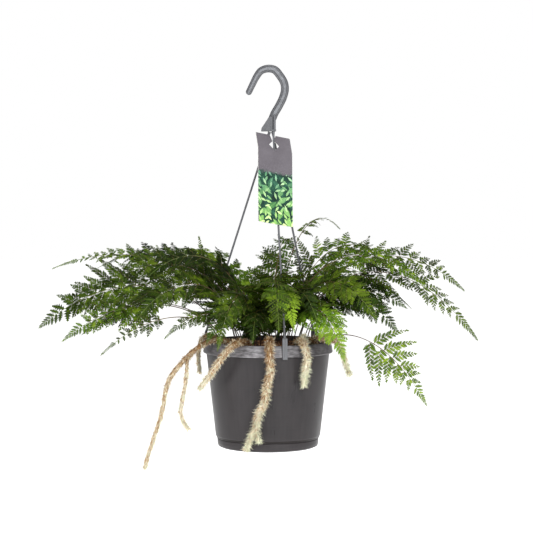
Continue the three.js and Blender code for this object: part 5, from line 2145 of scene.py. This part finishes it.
@dataclass
class PottingMix:
    """The bed of peat in the pot, lumpy on top, with bark chips and fibres pressed into it."""

    rings: int = 46
    sides: int = 160
    chips: int = 900
    fibres: int = 260
    waves: int = 14  # of one size in its lumps
    seed: int = 77

    def build(self, mix: bpy.types.Material) -> bpy.types.Object:
        """Builds the bed and places it.

        Args:
            mix: its finish.

        Returns:
            The piece.
        """
        self.draw = np.random.default_rng(self.seed)
        shell = Shell("chip", "is_chip")
        self._bed(shell)
        self._chips(shell)
        self._fibres(shell)
        return put(shell, "potting_mix", [mix])

    def _bed(self, shell: Shell) -> None:
        """The closed body of the bed.

        Args:
            shell: the mesh that it goes into.
        """
        edge = MIX_EDGE - 0.4
        top = [(r, float(mix_height(r))) for r in np.linspace(edge, 0.4, self.rings)]
        outline = np.array([(0, BASE_Z + 6.3), (66.8, BASE_Z + 6.8), (70.4, BASE_Z + 16.5), *top])
        points, faces, _ = lathe(outline, self.sides)
        inside = np.hypot(points[:, 0], points[:, 1]) < edge - 1
        high = inside & (points[:, 2] > RIM_Z - 12)
        spots = points[high]
        lumps = np.zeros(len(spots))
        # Lumps of three sizes, with the depth of each.
        for size, depth in ((18.0, 0.9), (7.0, 0.7), (3.2, 0.5)):
            ways = self.draw.normal(0, 2 * math.pi / size, (self.waves, 2))
            shifts = self.draw.uniform(0, 2 * math.pi, self.waves)
            lumps += depth * np.sin(spots[:, :2] @ ways.T + shifts).sum(1) / math.sqrt(self.waves)
        points[high, 2] += lumps
        shell.add(points, faces)

    def _spots(self, count: int) -> Vec:
        """Random places on the bed.

        Args:
            count: how many.

        Returns:
            The places, in rows.
        """
        radius = (MIX_EDGE - 4) * np.sqrt(self.draw.uniform(0, 1, count))
        turn = self.draw.uniform(0, 2 * math.pi, count)
        return np.stack([radius * np.sin(turn), -radius * np.cos(turn), mix_height(radius)], 1)

    def _chips(self, shell: Shell) -> None:
        """Chips of bark, each an uneven block turned its own way.

        Args:
            shell: the mesh that they go into.
        """
        spots = self._spots(self.chips)
        cube = np.array([[x, y, z] for x in (-1, 1) for y in (-1, 1) for z in (-1, 1)], float)
        faces = np.array([[0, 1, 3, 2], [4, 6, 7, 5], [0, 4, 5, 1], [2, 3, 7, 6], [0, 2, 6, 4], [1, 5, 7, 3]])
        n = self.chips
        size = self.draw.uniform(0.6, 2.6, (n, 1, 1)) * self.draw.uniform(0.35, 1.0, (n, 1, 3))
        bodies = cube[None] * size * self.draw.uniform(0.7, 1.1, (n, 8, 3))
        a = unit(self.draw.normal(0, 1, (n, 3)))
        b = unit(np.cross(a, self.draw.normal(0, 1, (n, 3))))
        c = np.cross(a, b)
        bodies = bodies[..., :1] * a[:, None] + bodies[..., 1:2] * b[:, None] + bodies[..., 2:] * c[:, None]
        points = bodies + spots[:, None] + np.array([0, 0, 0.4])
        corners = faces[None] + 8 * np.arange(n)[:, None, None]
        shell.add(points.reshape(-1, 3), corners.reshape(-1, 4), smooth=False, is_chip=1.0,
                  chip=np.repeat(self.draw.uniform(0, 1, n), 8))

    def _fibres(self, shell: Shell) -> None:
        """Thin coir fibres that lie over the bed.

        Args:
            shell: the mesh that they go into.
        """
        radii = np.array([0.1, 0.2, 0.22, 0.2, 0.1])
        for spot in self._spots(self.fibres):
            turn = self.draw.uniform(0, 2 * math.pi)
            length = self.draw.uniform(5, 14)
            t = np.linspace(-0.5, 0.5, 5)
            bow = self.draw.normal(0, 0.25)
            flat = np.stack([t * length, bow * length * (t * t - 0.1), 1.4 - 3 * t * t], 1)
            c, s = math.cos(turn), math.sin(turn)
            line = np.stack([flat[:, 0] * c - flat[:, 1] * s, flat[:, 0] * s + flat[:, 1] * c, flat[:, 2]], 1)
            line = line + spot
            # One that would reach the wall is left out.
            if np.hypot(line[:, 0], line[:, 1]).max() <= MIX_EDGE - 2:
                points, faces, _, _ = tube(line, radii, 4, np.array([0, 0.1, 1.0]))
                shell.add(points, faces, is_chip=1.0, chip=self.draw.uniform(0.5, 1))


# ---------------------------------------------------------------- the studio


@dataclass
class Studio:
    """The white floor and surround, the soft lights and the camera of the photograph."""

    floor_z: float = -660.0
    floor_thick: float = 4.0
    reach: float = 9000.0  # the floor's radius
    surround: float = 0.24  # the strength of its light, of which 1 is seen as white
    camera_spot: tuple[float, float, float] = (-2.0, -2600.0, -140.0)
    camera_pitch: float = 2.8  # how far it looks down, in degrees
    field: float = 16.15  # its angle of view, in degrees
    sensor: float = 36.0
    lamps: tuple[tuple[str, tuple[float, float, float], tuple[float, float, float], float, float], ...] = (
        # name, place, aim, size and power in watts
        ("key", (700, -2200, 800), (0, 0, -300), 700, 43.0),
        ("fill", (-1000, -2000, 400), (0, 0, -300), 700, 14.0),
        ("top", (100, -300, 1600), (0, 0, -300), 1100, 18.0),
        # two low lamps draw the upright sheens on the pot's wall
        ("sheen_right", (1170, -2200, -250), (0, 0, -440), 500, 15.0),
        ("sheen_left", (-1900, -1200, -250), (0, 0, -440), 500, 12.0),
    )

    def build(self) -> None:
        """Builds the studio."""
        self._floor()
        for lamp in self.lamps:
            self._lamp(*lamp)
        self._world()
        self._camera()
        view = bpy.context.scene.view_settings
        view.view_transform = "Standard"
        view.look = "None"

    def _floor(self) -> None:
        """A wide round floor of studio paper, well below the pot."""
        low = -self.floor_thick
        outline = np.array([(0.0, 0.0), (900.0, 0.0), (self.reach, 0.0), (self.reach, low), (0.0, low)])
        points, faces, _ = lathe(outline[::-1], 96)
        points[:, 2] += self.floor_z
        shell = Shell()
        shell.add(points, faces)
        mesh = shell.mesh("studio_floor")
        mesh.materials.append(StudioPaper().make())
        floor = enter("studio_floor", mesh)

    @staticmethod
    def _lamp(name: str, spot: Sequence[float], aim: Sequence[float], size: float, power: float) -> None:
        """A square soft light.

        Args:
            name: its name.
            spot: where it stands.
            aim: the point that it faces.
            size: the length of its side.
            power: its power in watts.
        """
        light = bpy.data.lights.new(name, "AREA")
        light.shape = "SQUARE"
        light.size = size * MM
        light.energy = power
        lamp = enter(name, light)
        lamp.location = np.array(spot) * MM
        back = unit(np.array(spot, float) - np.array(aim, float))
        pitch = math.acos(float(back[2]))
        lamp.rotation_euler = (pitch, 0, math.atan2(back[0], -back[1]))

    def _world(self) -> None:
        """An even white surround."""
        world = bpy.data.worlds.new("surround")
        world.use_nodes = True
        tree = world.node_tree
        tree.nodes.clear()
        # The surround is seen white, and lights the object less strongly than that.
        seen = add_node(tree, "ShaderNodeLightPath").outputs["Is Camera Ray"]
        dim, white = (
            add_node(tree, "ShaderNodeBackground", {"Color": (1, 1, 1, 1), "Strength": strength}).outputs[0]
            for strength in (self.surround, 1.0)
        )
        sky = add_node(tree, "ShaderNodeMixShader", {0: seen, 1: dim, 2: white})
        add_node(tree, "ShaderNodeOutputWorld", {"Surface": sky.outputs[0]})
        bpy.context.scene.world = world

    def _camera(self) -> None:
        """The camera, where the photograph was taken from."""
        data = bpy.data.cameras.new("camera")
        data.sensor_width = self.sensor
        data.lens = self.sensor / 2 / math.tan(math.radians(self.field) / 2)
        data.clip_end = 50.0  # metres, beyond the floor's far edge
        camera = enter("camera", data)
        camera.location = np.array(self.camera_spot) * MM
        camera.rotation_euler = (math.radians(90 - self.camera_pitch), 0, 0)
        bpy.context.scene.camera = camera


# ---------------------------------------------------------------- the finishes in use


LEAF_FINISHES = {
    Slot.DARK: LeafFinish("leaf_dark_waxy", "#060a02", "#152205", "#31470f", "#3c4f1d"),
    Slot.MID: LeafFinish("leaf_mid_waxy", "#0a1202", "#203207", "#536714", "#5c6c28"),
    Slot.BRIGHT: LeafFinish("leaf_bright_waxy", "#101b03", "#30490b", "#70861d", "#788c32"),
    Slot.PALE: LeafFinish("leaf_pale_young", "#172604", "#3d5c0e", "#789426", "#86a03c"),
}
POT_PLASTIC = MouldedPlastic(
    "pot_polypropylene_moulded", "#2a2829", "#333031", "#8b898c", "#1a1615", gloss=0.34, mirror=0.16,
)
HANGER_PLASTIC = MouldedPlastic(
    "hanger_polypropylene_moulded", "#434447", "#505155", "#797c80", "#252629", gloss=0.42, mirror=0.5,
)


def main() -> None:
    """Builds every piece in order, then the studio."""
    logging.basicConfig(level=logging.INFO, format="%(name)s %(message)s")
    Pot().build(POT_PLASTIC.make())
    PottingMix().build(PottingMixFinish().make())
    hanger = HANGER_PLASTIC.make()
    Hook().build(hanger)
    for side in Side:
        Arm(side).build(hanger)
    Label().build(PrintedCard().make())
    # The skin is painted darker than the hairs, a painted shade between them.
    skin = RhizomeFinish("rhizome_skin_scaly", 0.55).make()
    hair = RhizomeFinish("rhizome_hair_fibre", 0.0).make()
    for i, plan in enumerate(RHIZOMES):
        Rhizome(plan, RHIZOME_SEED + i).build(skin, hair)
    leaves = {slot: finish.make() for slot, finish in LEAF_FINISHES.items()}
    stem = StemFinish().make()
    for index, plan in enumerate(FRONDS):
        Frond(plan, index).build(leaves[plan.tone], stem)
    Studio().build()


if __name__ == "__main__":
    main()
